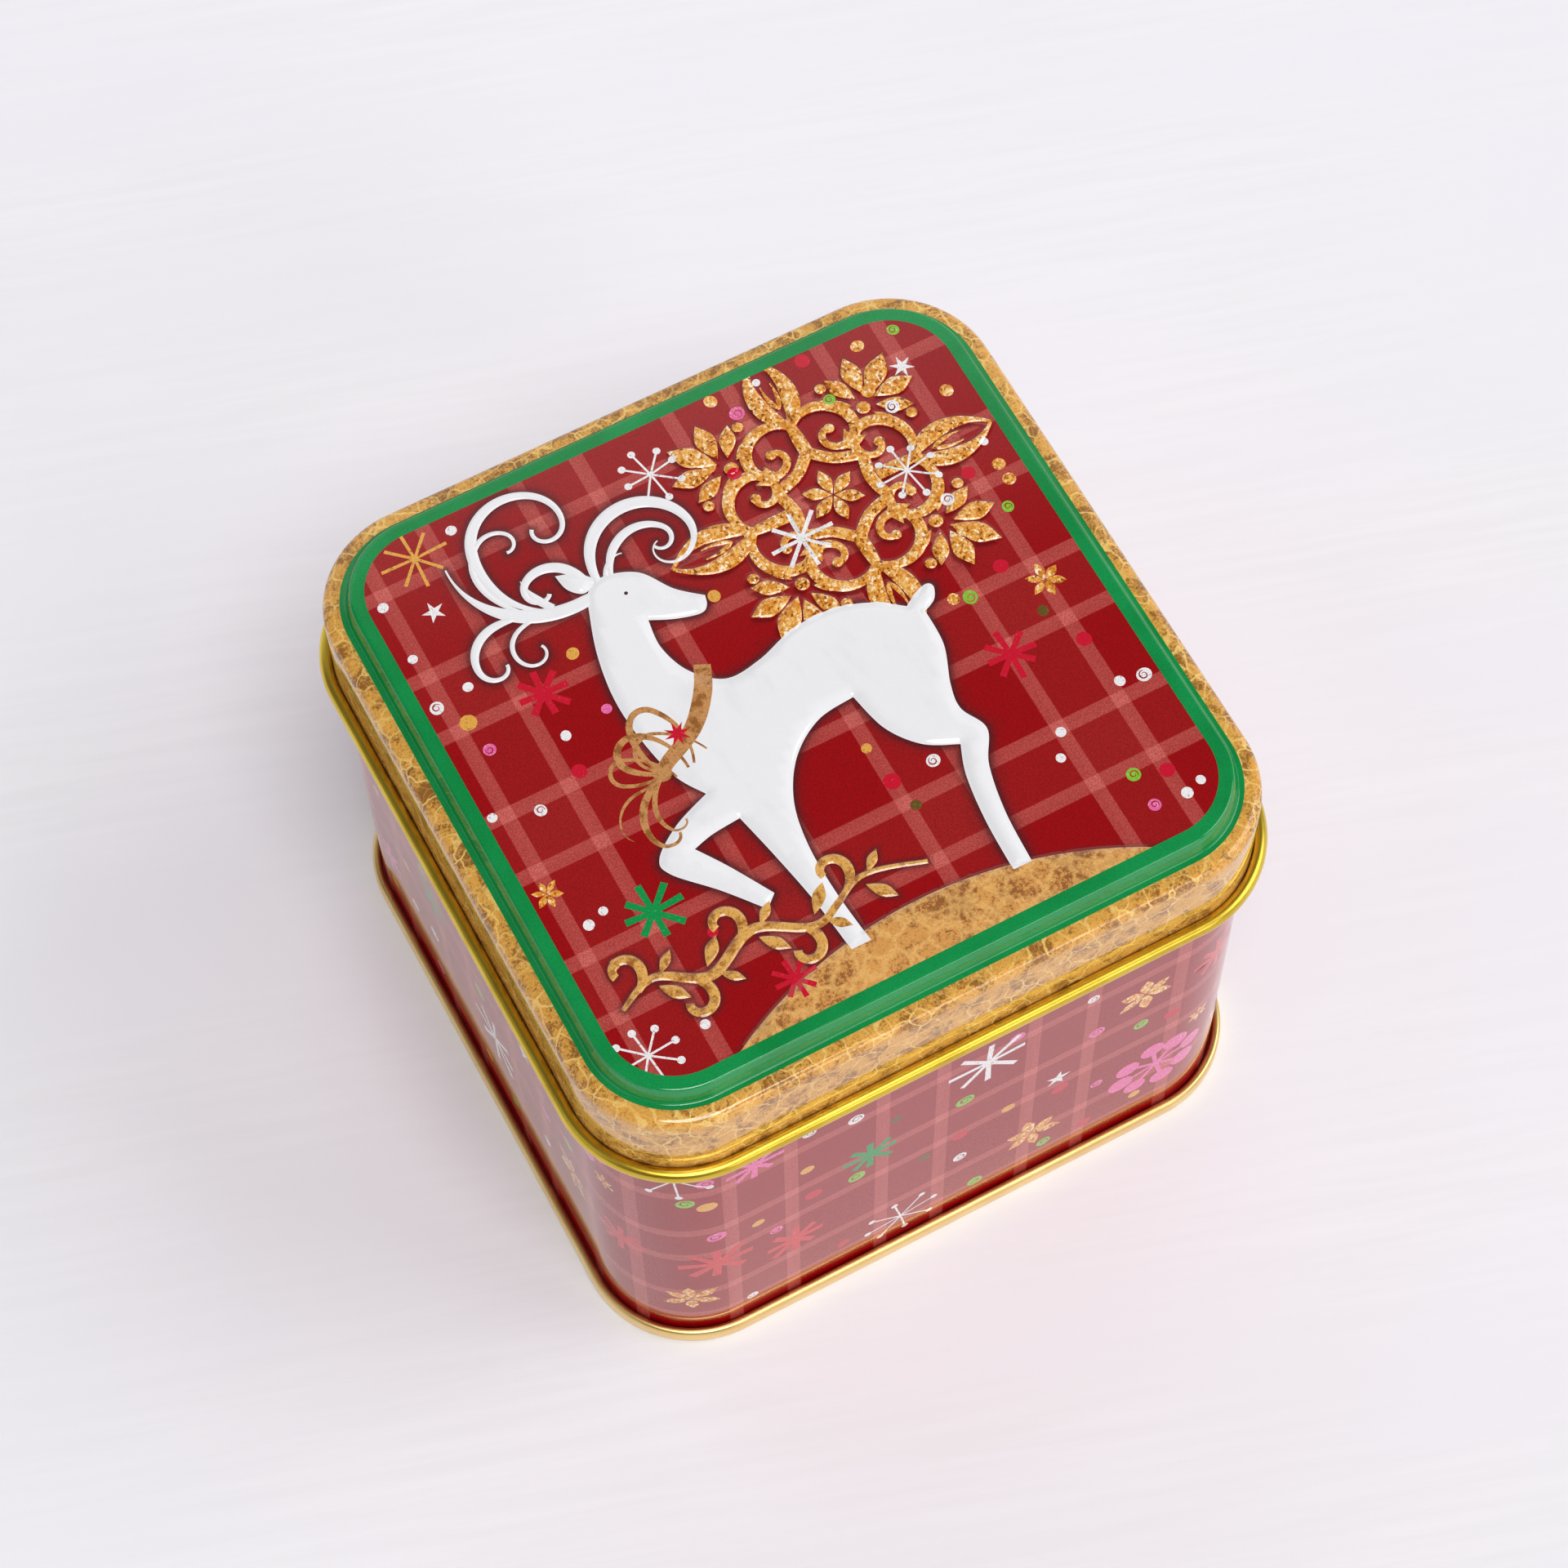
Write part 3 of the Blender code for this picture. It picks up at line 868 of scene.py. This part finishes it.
def leather_gold(name):
    """The border's print: brown and gold patches of fibres, with pale branching veins."""
    paint = Paint(name)
    fibre = paint.math("MULTIPLY", paint.noise(2.2, 4.0, roughness=0.8), 0.8)
    patches = paint.noise(0.3, 3.0, roughness=0.6, distortion=0.6)
    brown = paint.span(paint.math("ADD", patches, fibre), 0.87, 1.03, 0.0, 0.88)
    specks = paint.span(paint.noise(3.4, 3.0, roughness=0.7), 0.48, 0.66, 0.0, 0.5)
    creased = paint.span(paint.noise(0.16, 2.0), 0.4, 0.58, 0.45, 1.0)
    bent = paint.bent(0.4, 4.0, 2.0)
    veins = paint.math("MULTIPLY", paint.creases(bent, 0.3, 0.06, 1.0), creased)
    veins = paint.math("ADD", veins, paint.creases(bent, 0.7, 0.08, 0.3), clamp=True)
    colour = paint.mix(brown, srgb(234, 172, 78), srgb(146, 92, 38))
    colour = paint.mix(specks, colour, srgb(132, 82, 36))
    return paint.printed(paint.mix(veins, colour, srgb(250, 206, 118)), 0.2)


def green_print(name):
    paint = Paint(name)
    drift = paint.span(paint.noise(0.12, 2.0), 0.3, 0.7)
    return paint.printed(paint.mix(drift, srgb(8, 138, 66), srgb(16, 150, 76)), 0.25)


def deer_paint(name):
    """Opaque white with faint brushed streaks."""
    paint = Paint(name)
    streak = paint.span(paint.noise(0.35, 3.0, place=paint.stretched(1.0, 0.35, 1.0)), 0.5, 0.8, 0.0, 0.35)
    return paint.printed(paint.mix(streak, srgb(240, 240, 242), srgb(222, 221, 224)), 0.03)


def lacquer(name, colour, shade, roughness):
    """Gold lacquer over rolled tinplate, satin, with a slow drift in tone."""
    paint = Paint(name, roughness, metallic=1.0, specular=0.5, coat=0.4, coat_roughness=0.2, coat_ior=1.5)
    drift = paint.span(paint.noise(0.12, 3.0), 0.35, 0.7)
    lines = paint.noise(1.2, 3.0, place=paint.stretched(1.0, 1.0, 5.0))
    return paint.finish(paint.mix(paint.math("MULTIPLY", lines, drift), srgb(*colour), srgb(*shade)))


# Every printed ink's colour, and where it has specks: their colour, the share they cover and their scale
INKS = {
    "dark_ink": [(70, 44, 40)],
    "white_ink": [(246, 244, 244), (176, 160, 160), 0.42, 2.6],
    "pink_ink": [(236, 104, 166), (246, 170, 200), 0.45, 3.0],
    "coral_ink": [(214, 58, 62), (226, 110, 104), 0.4],
    "crimson_ink": [(206, 20, 48), (224, 70, 84), 0.38],
    "green_ink": [(16, 150, 74), (70, 176, 108), 0.4],
    "lime_ink": [(132, 198, 56), (186, 226, 120), 0.42],
    "olive_ink": [(104, 82, 34), (134, 104, 50), 0.45],
    "gold_ink": [(232, 172, 78), (164, 108, 44), 0.42, 3.4],
}
MATERIALS = {
    "plaid": plaid("red_plaid", (9.6, -4.8)),
    "wall_plaid": plaid("red_plaid_wall", (3 * QUARTER + CORNER_CENTRE - 7.5, 11.7), uv_map="print"),
    "green": green_print("green_border"),
    "leather": leather_gold("leather_gold"),
    "hill": hill_gold("hill_gold"),
    "glitter": glitter("gold_glitter"),
    "foil": foil("antique_gold", (232, 176, 92), (170, 108, 46)),
    "bronze": foil("bronze_ribbon", (206, 150, 92), (156, 98, 48)),
    "deer_white": deer_paint("deer_white"),
    "lid_lacquer": lacquer("lid_lacquer", (226, 194, 62), (190, 152, 30), 0.29),
    "base_lacquer": lacquer("base_lacquer", (240, 208, 136), (222, 182, 104), 0.34),
}
MATERIALS.update({name: ink(name, *given) for name, given in INKS.items()})


# ==== meshes

# Points of a sheet that lie this near each other, in metres, become one
WELDED = 1e-6


def sheet_mesh(name, grids, patches):
    """One sheet as a mesh. A grid is (places by row and run, one colour per strip), closed round the tin.

    A patch is (places, triangles, colour per triangle, normals, flat coordinates, shade). Its last three may
    be None, and a normal of zero is left to Blender."""
    places, extras, faces, inks = [], [], [], []
    base = 0
    for rows, colours in grids:
        row_count, run_count = rows.shape[:2]
        for i, colour in enumerate(colours):
            for j in range(run_count):
                k = (j + 1) % run_count
                here = base + i * run_count
                ahead = here + run_count
                faces.append((here + j, ahead + j, ahead + k, here + k))
            inks += [colour] * run_count
        places.append(rows.reshape(-1, 3))
        extras.append(np.zeros((row_count * run_count, 6)))
        base += row_count * run_count
    for spots, triangles, colours, *given in patches:
        places.append(spots)
        columns = []
        for values, width in zip(given, (3, 2, 1)):
            columns.append(np.zeros((len(spots), width)) if values is None else values.reshape(-1, width))
        extras.append(np.hstack(columns))
        faces += [tuple(int(c) + base for c in t) for t in triangles]
        inks += list(colours)
        base += len(spots)
    mesh = bpy.data.meshes.new(name)
    mesh.from_pydata(np.concatenate(places) * MM, [], faces)
    slots = sorted(set(inks))
    for colour in slots:
        mesh.materials.append(MATERIALS[colour])
    mesh.polygons.foreach_set("material_index", [slots.index(colour) for colour in inks])
    extras = np.concatenate(extras).astype(np.float32)
    corner_points = np.empty(len(mesh.loops), np.int32)
    mesh.loops.foreach_get("vertex_index", corner_points)
    mesh.uv_layers.new(name="print").data.foreach_set("uv", extras[corner_points, 3:5].ravel())
    mesh.attributes.new("shade", "FLOAT", "POINT").data.foreach_set("value", extras[:, 5].copy())
    mesh.attributes.new("aim", "FLOAT_VECTOR", "POINT").data.foreach_set("vector", extras[:, :3].ravel())
    bm = bmesh.new()
    bm.from_mesh(mesh)
    bmesh.ops.remove_doubles(bm, verts=bm.verts[:], dist=WELDED)
    bm.to_mesh(mesh)
    bm.free()
    mesh.shade_smooth()
    aims = np.empty(3 * len(mesh.vertices), np.float32)
    mesh.attributes["aim"].data.foreach_get("vector", aims)
    aims = aims.reshape(-1, 3)
    plain = np.array([normal.vector for normal in mesh.vertex_normals])
    normals = np.where((np.abs(aims).max(1) > 0)[:, None], aims, plain)
    mesh.attributes.remove(mesh.attributes["aim"])
    mesh.normals_split_custom_set_from_vertices(normals)
    return mesh


def add_piece(mesh, body, node):
    piece = bpy.data.objects.new(mesh.name, mesh)
    bpy.context.scene.collection.objects.link(piece)
    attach(piece, body)
    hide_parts(node)


def lathe(profile, runs):
    """Places by row and run for a profile of (reach, height)."""
    return np.array([around(runs, reach, height) for reach, height in profile])


# ==== the lid


def lid_profile():
    """The printed face from the plateau's rim to the end of the rolled edge, and one colour per strip."""
    lean = 90 - STEP_SLOPE
    rim = [(PLATEAU_REACH - RIM, PLATEAU_HEIGHT)]
    edge_centre = (PLATEAU_REACH, PLATEAU_HEIGHT - PLATEAU_EDGE_RADIUS)
    edge = arc(edge_centre, PLATEAU_EDGE_RADIUS, 90, lean, 7)
    foot_height = SHOULDER_HEIGHT + STEP_FOOT_RADIUS
    drop = edge[-1][1] - foot_height + STEP_FOOT_RADIUS * math.cos(math.radians(STEP_SLOPE))
    foot_reach = edge[-1][0] + drop / math.tan(math.radians(STEP_SLOPE))
    foot_reach += STEP_FOOT_RADIUS * math.sin(math.radians(STEP_SLOPE))
    foot = arc((foot_reach, foot_height), STEP_FOOT_RADIUS, 180 + lean, 270, 6)
    green = rim + edge + foot + [(GREEN_OUTSIDE, SHOULDER_HEIGHT)]
    shoulder = (SKIRT_REACH - SHOULDER_EDGE_RADIUS, SHOULDER_HEIGHT - SHOULDER_EDGE_RADIUS)
    bend = arc(shoulder, SHOULDER_EDGE_RADIUS, 90, 0, 9)
    curl_height = SHOULDER_HEIGHT - SKIRT_LENGTH
    skirt = [(SKIRT_REACH, h) for h in np.linspace(bend[-1][1], curl_height, 8)[1:-1]]
    curl = arc((SKIRT_REACH + LID_CURL_RADIUS, curl_height), LID_CURL_RADIUS, 180, LID_CURL_END, 30)
    profile = green + bend + skirt + curl
    return profile, ["green"] * (len(green) - 1) + ["leather"] * (len(profile) - len(green))


def lid_artwork():
    """(ink, outline) in printing order, and the outlines that are also embossed."""
    hand = random.Random(7)
    field = around(even_runs(), GREEN_INSIDE, 0.0)[:, :2]
    hill, ornament = hill_shape(), ornament_shapes()
    flourish, antlers, deer, bow = flourish_shapes(), scrolls(ANTLERS), deer_shapes(), bow_shapes()
    shapes = [("plaid", field), ("hill", hill)]
    shapes += [("glitter", part) for part in ornament]
    shapes += confetti(LID_DOTS, LID_ASTERISKS, LID_BURSTS, LID_STARS, hand, "plaid")
    shapes += [("deer_white", part) for part in antlers + deer]
    shapes += [("bronze", part) for part in bow] + [("foil", part) for part in flourish]
    shapes += [("crimson_ink", star(-16.3, -0.4, 1.9, 8, 0.4)), ("dark_ink", disc(*DEER_EYE, sides=10))]
    embossed = {"hill": [hill], "ornament": ornament, "flourish": flourish, "antlers": antlers, "deer": deer}
    return shapes, embossed


# For each picture: how far it's raised, and how deep inside its outline the rise begins and ends
RELIEF = (
    ("deer", 0.36, -0.2, 1.2), ("antlers", 0.16, -0.15, 0.45), ("ornament", 0.22, -0.2, 0.55),
    ("hill", 0.26, -0.3, 0.6), ("flourish", 0.18, -0.15, 0.45),
)
# For each picture: how dark the plaid is at its outline, and how far out the darkness spreads
HALOS = (
    ("deer", 0.85, 0.85), ("antlers", 0.75, 0.8), ("flourish", 0.7, 0.55), ("hill", 0.6, 0.45),
    ("ornament", 0.35, 0.3),
)
# How far inside the green border the relief begins to rise, and is in full
RELIEF_INSET = (0.1, 0.9)
# The ornament's own shadow: from a place in it towards the ornament, how dark it is, and its soft edge
SHADOW_FALL = (0.75, 0.65)
SHADOW_DARKNESS = 0.8
SHADOW_EDGE = (-0.15, 0.2)

# How far inside the plateau's rim its fill points start, and how near to the rim a point counts as on it
FILL_MARGIN = 0.6
ON_RIM = 0.05
# The relief's fill points: how far outside the outlines, or below 0 inside, and how close together
FILL_OFFSETS = (-0.8, -0.45, -0.18, 0.18, 0.5, 1.0)
FILL_SPACING = 0.27
GRID_SPACING = 1.5
# Depths are worked out this far outside an outline
DEEPEST_OUTSIDE = 3.0


def lid_relief(points, depths):
    """How high the plateau's relief stands above its flat, and its normals."""
    height = np.zeros(len(points))
    slope = np.zeros((len(points), 2))
    inset = ramp(GREEN_INSIDE - reach_of(points), *RELIEF_INSET)
    for name, rise, start, full in RELIEF:
        depth, deeper = depths[name]
        raised = rise * ramp(depth, start, full) * inset
        higher = raised > height
        height[higher] = raised[higher]
        slope[higher] = (deeper * (rise * ramp_slope(depth, start, full) * inset)[:, None])[higher]
    normals = np.column_stack([-slope, np.ones(len(points))])
    return height, normals / np.linalg.norm(normals, axis=1)[:, None]


def lid_shade(points, depths, ornament):
    """The plaid's darkness beside the pictures: above 0 close to them, below 0 in the ornament's shadow."""
    fall = ramp(deepest(points + SHADOW_FALL, ornament, 1.0)[0], *SHADOW_EDGE) * SHADOW_DARKNESS
    shade = np.zeros(len(points))
    for name, darkness, spread in HALOS:
        outside = np.minimum(depths[name][0], 0)
        shade = np.maximum(shade, darkness * np.exp(-((outside / spread) ** 2)))
    return np.where(fall > shade, -fall, shade)


def make_lid():
    runs = even_runs()
    profile, colours = lid_profile()
    inner = far_side(profile, 1)[::-1]
    colours = colours + ["lid_lacquer"] * len(inner)
    rows = lathe([*profile, *inner], runs)
    shapes, embossed = lid_artwork()
    edges = [outline for outlines in embossed.values() for outline in outlines]
    fill = thinned(beside_outlines(edges, FILL_OFFSETS), FILL_SPACING)
    fill += grid_points(GRID_SPACING)
    fill = [p for p in fill if reach_of(np.array([p]))[0] < PLATEAU_REACH - RIM - FILL_MARGIN]
    border = rows[0][:, :2]
    points, triangles, top = cut_sheet(border, [outline for _, outline in shapes], fill, clipped=True)
    depths = {name: deepest(points, outlines, DEEPEST_OUTSIDE) for name, outlines in embossed.items()}
    height, normals = lid_relief(points, depths)
    normals[reach_of(points) > PLATEAU_REACH - RIM - ON_RIM] = 0
    shade = lid_shade(points, depths, embossed["ornament"])
    inks = ["green" if number < 0 else shapes[number][0] for number in top]
    above = np.column_stack([points, PLATEAU_HEIGHT + height])
    below = above - (0, 0, SHEET)
    patches = [
        (above, triangles, inks, normals, None, shade),
        (below, triangles[:, ::-1], ["lid_lacquer"] * len(triangles), -normals, None, None),
    ]
    add_piece(sheet_mesh("lid_sheet", [(rows, colours)], patches), "lid", "lid")


# ==== the wall


def lock_run(x):
    """The run of a place on the back, where the wall's two ends are folded together."""
    return QUARTER + CORNER_CENTRE - x


def wall_runs():
    insets = (0.0, LOCK_SIDE)
    folds = [lock_run(LOCK_X + side * (LOCK_HALF_WIDTH - inset)) for side in (-1, 1) for inset in insets]
    line = lock_run(LOCK_LINE_X)
    folds += [line - LOCK_LINE_HALF_WIDTH, line, line + LOCK_LINE_HALF_WIDTH]
    return np.unique(np.concatenate([even_runs(), folds]))


def lock_ends(height):
    """1 where the lock seam runs, 0 above and below it."""
    low = ramp(height, LOCK_END_CLEARANCE - LOCK_FADE, LOCK_END_CLEARANCE)
    return low * (1 - ramp(height, LOCK_TOP, LOCK_TOP + LOCK_FADE))


def wall_face(run, height):
    """Places on the printed face of the wall, with the fine line that the lock seam leaves in it."""
    line = lock_run(LOCK_LINE_X)
    near_line = np.clip(1 - np.abs(run - line) / LOCK_LINE_HALF_WIDTH, 0, 1)
    pressed = LOCK_LINE_DEPTH * near_line * lock_ends(height)
    flat = around(run, WALL_REACH, 0) * (1, 1, 0) + np.stack([0 * run, 0 * run, height], axis=-1)
    return flat - outward(run) * pressed[:, None]


# The height about which the print is turned over
PRINT_MIDDLE = 38.0


def wall_artwork():
    """The front's confetti, and the same strip repeated round the tin, turned over on every other side."""
    hand = random.Random(11)
    shapes = []
    for side in range(4):
        centre = 3 * QUARTER + CORNER_CENTRE + side * QUARTER
        local = confetti(WALL_DOTS, WALL_ASTERISKS, WALL_BURSTS, WALL_STARS, hand, "wall_plaid")
        local += [("pink_ink", part) for part in blossom(*WALL_BLOSSOM, hand)]
        for k, upper in enumerate(UPPER_DOTS):
            x = UPPER_START[0] + UPPER_SPACING * k + hand.uniform(-4, 4)
            y = UPPER_START[1] + hand.uniform(-2.5, 2.0)
            local.append((upper, dot(x, y, UPPER_RADIUS, hand)))
        for colour, outline in local:
            if side % 2:
                outline = (np.array([0, 2 * PRINT_MIDDLE]) - outline * (-1, 1))[::-1]
            # The run starts over after four sides, and a shape that crosses its end shows at both ends
            for lap in (-4, 0):
                moved = outline + (centre + lap * QUARTER, 0)
                if moved[:, 0].max() > 0 and moved[:, 0].min() < 4 * QUARTER:
                    shapes.append((colour, moved))
    return shapes


# How far apart the wall's fill points lie up its height
RUNG_SPACING = 4.0


def wall_profile():
    """The printed face from the mouth down: its roll, its straight side and its hook."""
    curl_centre = (WALL_REACH - MOUTH_CURL_RADIUS, FACE_HIGH)
    curl = arc(curl_centre, MOUTH_CURL_RADIUS, MOUTH_CURL_START, 0, 22)
    heights = np.linspace(LOCK_TOP, LOCK_END_CLEARANCE, 10)
    heights = [LOCK_TOP + LOCK_FADE, *heights, LOCK_END_CLEARANCE - LOCK_FADE]
    turn = arc((WALL_REACH + HOOK_TURN_RADIUS, FACE_LOW), HOOK_TURN_RADIUS, 180, 360, 10)
    return curl, [(WALL_REACH, h) for h in heights], turn + [(WALL_HOOK_REACH, HOOK_TOP)]


def wall_border(runs):
    """The outline of the straight face laid flat, and the fill points inside it."""
    edge = np.append(runs, 4 * QUARTER)
    rungs = np.arange(FACE_LOW + RUNG_SPACING, FACE_HIGH - RUNG_SPACING / 2, RUNG_SPACING)
    border = [(run, FACE_LOW) for run in edge] + [(4 * QUARTER, h) for h in rungs]
    border += [(run, FACE_HIGH) for run in edge[::-1]] + [(0.0, h) for h in rungs[::-1]]
    return border, [(run, h) for run in runs if run > 0 for h in rungs]


def make_wall():
    runs = wall_runs()
    curl, straight, hook = wall_profile()
    profile = curl + straight + hook
    inner = lathe(far_side(profile, 1), runs)
    folded = ramp(-np.abs(runs - lock_run(LOCK_X)), -LOCK_HALF_WIDTH, LOCK_SIDE - LOCK_HALF_WIDTH)
    for row, (_, height) in zip(inner, profile):
        row -= outward(runs) * (folded * LOCK_DEPTH * lock_ends(np.float64(height)))[:, None]
    mouth = lathe(curl, runs)
    rest = np.concatenate([lathe(hook, runs), inner[::-1], mouth[:1]])
    border, fill = wall_border(runs)
    shapes = wall_artwork()
    points, triangles, top = cut_sheet(border, [outline for _, outline in shapes], fill, clipped=False)
    inks = ["wall_plaid" if number < 0 else shapes[number][0] for number in top]
    face = wall_face(points[:, 0], points[:, 1])
    normals = outward(points[:, 0])
    grids = [
        (mouth, ["base_lacquer"] * (len(mouth) - 1)),
        (rest, ["wall_plaid"] * (len(hook) - 1) + ["base_lacquer"] * (len(rest) - len(hook))),
    ]
    mesh = sheet_mesh("wall_sheet", grids, [(face, triangles, inks, normals, points, None)])
    add_piece(mesh, "tin_body", "body_wall")


# ==== the base

# How close together the panel's fill points lie
PANEL_SPACING = 5.0


def make_base():
    runs = even_runs()
    panel_centre = (CHUCK_REACH - PANEL_EDGE_RADIUS, PANEL_RECESS - PANEL_EDGE_RADIUS)
    panel = [(panel_centre[0] - RIM, PANEL_RECESS)] + arc(panel_centre, PANEL_EDGE_RADIUS, 90, 0, 6)
    inside = arc((CHUCK_REACH + SEAM_CORNER_RADIUS, SEAM_CORNER_RADIUS), SEAM_CORNER_RADIUS, 180, 270, 6)
    outside = arc((SEAM_REACH - SEAM_CORNER_RADIUS, SEAM_CORNER_RADIUS), SEAM_CORNER_RADIUS, 270, 360, 6)
    crown_radius = (SEAM_REACH - BASE_HOOK_REACH) / 2
    crown = arc((SEAM_REACH - crown_radius, SEAM_HEIGHT - crown_radius), crown_radius, 0, 180, 12)
    profile = panel + inside + outside + crown + [(BASE_HOOK_REACH, HOOK_BOTTOM)]
    rows = lathe([*profile, *far_side(profile, -1)[::-1]], runs)
    border = rows[0][:, :2]
    points, triangles, _ = cut_sheet(border, [], grid_points(PANEL_SPACING), clipped=False)
    under = np.column_stack([points, np.full(len(points), PANEL_RECESS)])
    over = under + (0, 0, SHEET)
    plain = ["base_lacquer"] * len(triangles)
    unset = (None, None, None)
    patches = [(under, triangles[:, ::-1], plain, *unset), (over, triangles, plain, *unset)]
    mesh = sheet_mesh("base_sheet", [(rows[:, ::-1], ["base_lacquer"] * (len(rows) - 1))], patches)
    add_piece(mesh, "tin_body", "base_plate")


# ==== stage, light and camera


# The floor's half width in metres, and how far its streaks are turned, in degrees
FLOOR_HALF = 12.0
BOARD_TURN = -18


def make_floor():
    """A pale board whose faint streaks run across the picture."""
    mesh = bpy.data.meshes.new("floor")
    corners = [(x * FLOOR_HALF, y * FLOOR_HALF, 0) for x, y in ((-1, -1), (1, -1), (1, 1), (-1, 1))]
    mesh.from_pydata(corners, [], [(0, 1, 2, 3)])
    paint = Paint("pale_board", roughness=0.6, specular=0.5, coat=0.0)
    fine, broad = paint.stretched(0.06, 1.0, 1.0), paint.stretched(0.3, 1.0, 1.0)
    fine = paint.span(paint.noise(0.4, 4.0, place=fine, roughness=0.6), 0.3, 0.7)
    broad = paint.span(paint.noise(0.03, 2.0, place=broad), 0.3, 0.7)
    colour = paint.mix(fine, srgb(244, 243, 247), srgb(240, 239, 243))
    mesh.materials.append(paint.finish(paint.mix(broad, colour, srgb(241, 240, 245))))
    floor = bpy.data.objects.new("floor", mesh)
    floor.rotation_euler.z = math.radians(BOARD_TURN)
    bpy.context.scene.collection.objects.link(floor)


def aim(obj, place, target, roll=0.0):
    """Puts a camera or lamp at a place, looking at the target, rolled about its line of sight."""
    turn = (Vector(target) - Vector(place)).to_track_quat("-Z", "Y").to_matrix().to_4x4()
    obj.matrix_world = Matrix.Translation(place) @ turn @ Matrix.Rotation(math.radians(roll), 4, "Z")
    bpy.context.scene.collection.objects.link(obj)


# The sky's two glows: the way each is measured along, the part of a direction along it where the change
# begins and ends, and the brightness before and after. The lid mirrors the first, behind the tin. The second
# is the band round the horizon, which low views see past the floor.
SKY_GLOW = 0.1
SKY_COLOUR = (0.98, 0.98, 1.0, 1.0)
GLOWS = (
    ((0.29, 0.957, 0.0), 0.475, 0.54, SKY_GLOW, 0.68),
    ((0.0, 0.0, 1.0), 0.08, 0.30, 0.88, SKY_GLOW),
)

# Soft round lamps far away: where each stands, how wide it looks in degrees, its power and its colour
LAMPS = {
    "key": ((1.0, -0.45, 0.85), 42, 1.08, (1.0, 0.99, 0.99)),
    "top": ((-0.10, -0.55, 1.25), 30, 1.67, (1.0, 0.99, 1.0)),
    "front": ((0.35, -1.15, 0.62), 22, 0.36, (1.0, 0.99, 0.99)),
    "left": ((-1.20, 0.10, 0.85), 40, 0.18, (0.97, 0.98, 1.0)),
}


def make_sky():
    world = bpy.data.worlds.new("studio")
    bpy.context.scene.world = world
    world.use_nodes = True
    tree = world.node_tree
    direction = tree.nodes.new("ShaderNodeTexCoord").outputs["Generated"]
    brighter = tree.nodes.new("ShaderNodeMath")
    brighter.operation = "MAXIMUM"
    for number, (way, *limits) in enumerate(GLOWS):
        along = tree.nodes.new("ShaderNodeVectorMath")
        along.operation = "DOT_PRODUCT"
        along.inputs[1].default_value = way
        tree.links.new(direction, along.inputs[0])
        span = tree.nodes.new("ShaderNodeMapRange")
        span.interpolation_type = "SMOOTHSTEP"
        for socket, value in zip(("From Min", "From Max", "To Min", "To Max"), limits):
            span.inputs[socket].default_value = value
        tree.links.new(along.outputs["Value"], span.inputs["Value"])
        tree.links.new(span.outputs[0], brighter.inputs[number])
    sky = tree.nodes["Background"]
    sky.inputs["Color"].default_value = SKY_COLOUR
    tree.links.new(brighter.outputs[0], sky.inputs["Strength"])


def make_lamps():
    for name, (place, angle, power, colour) in LAMPS.items():
        lamp = bpy.data.lights.new(name, "SUN")
        lamp.angle = math.radians(angle)
        lamp.energy = power
        lamp.color = colour
        aim(bpy.data.objects.new(name, lamp), place, (0, 0, 0))


# The camera, fitted to the photo: place and target in metres, roll in degrees and lens in millimetres
CAMERA_PLACE = (-0.11542, -0.22672, 0.55546)
CAMERA_TARGET = (0.00319, 0.00762, 0.035)
CAMERA_ROLL = -1.43
LENS = 93.7


def make_camera():
    lens = bpy.data.cameras.new("camera")
    lens.sensor_width = 36.0
    lens.lens = LENS
    camera = bpy.data.objects.new("camera", lens)
    aim(camera, CAMERA_PLACE, CAMERA_TARGET, CAMERA_ROLL)
    bpy.context.scene.camera = camera


make_lid()
make_wall()
make_base()
make_floor()
make_sky()
make_lamps()
make_camera()
bpy.context.scene.view_settings.view_transform = "Standard"
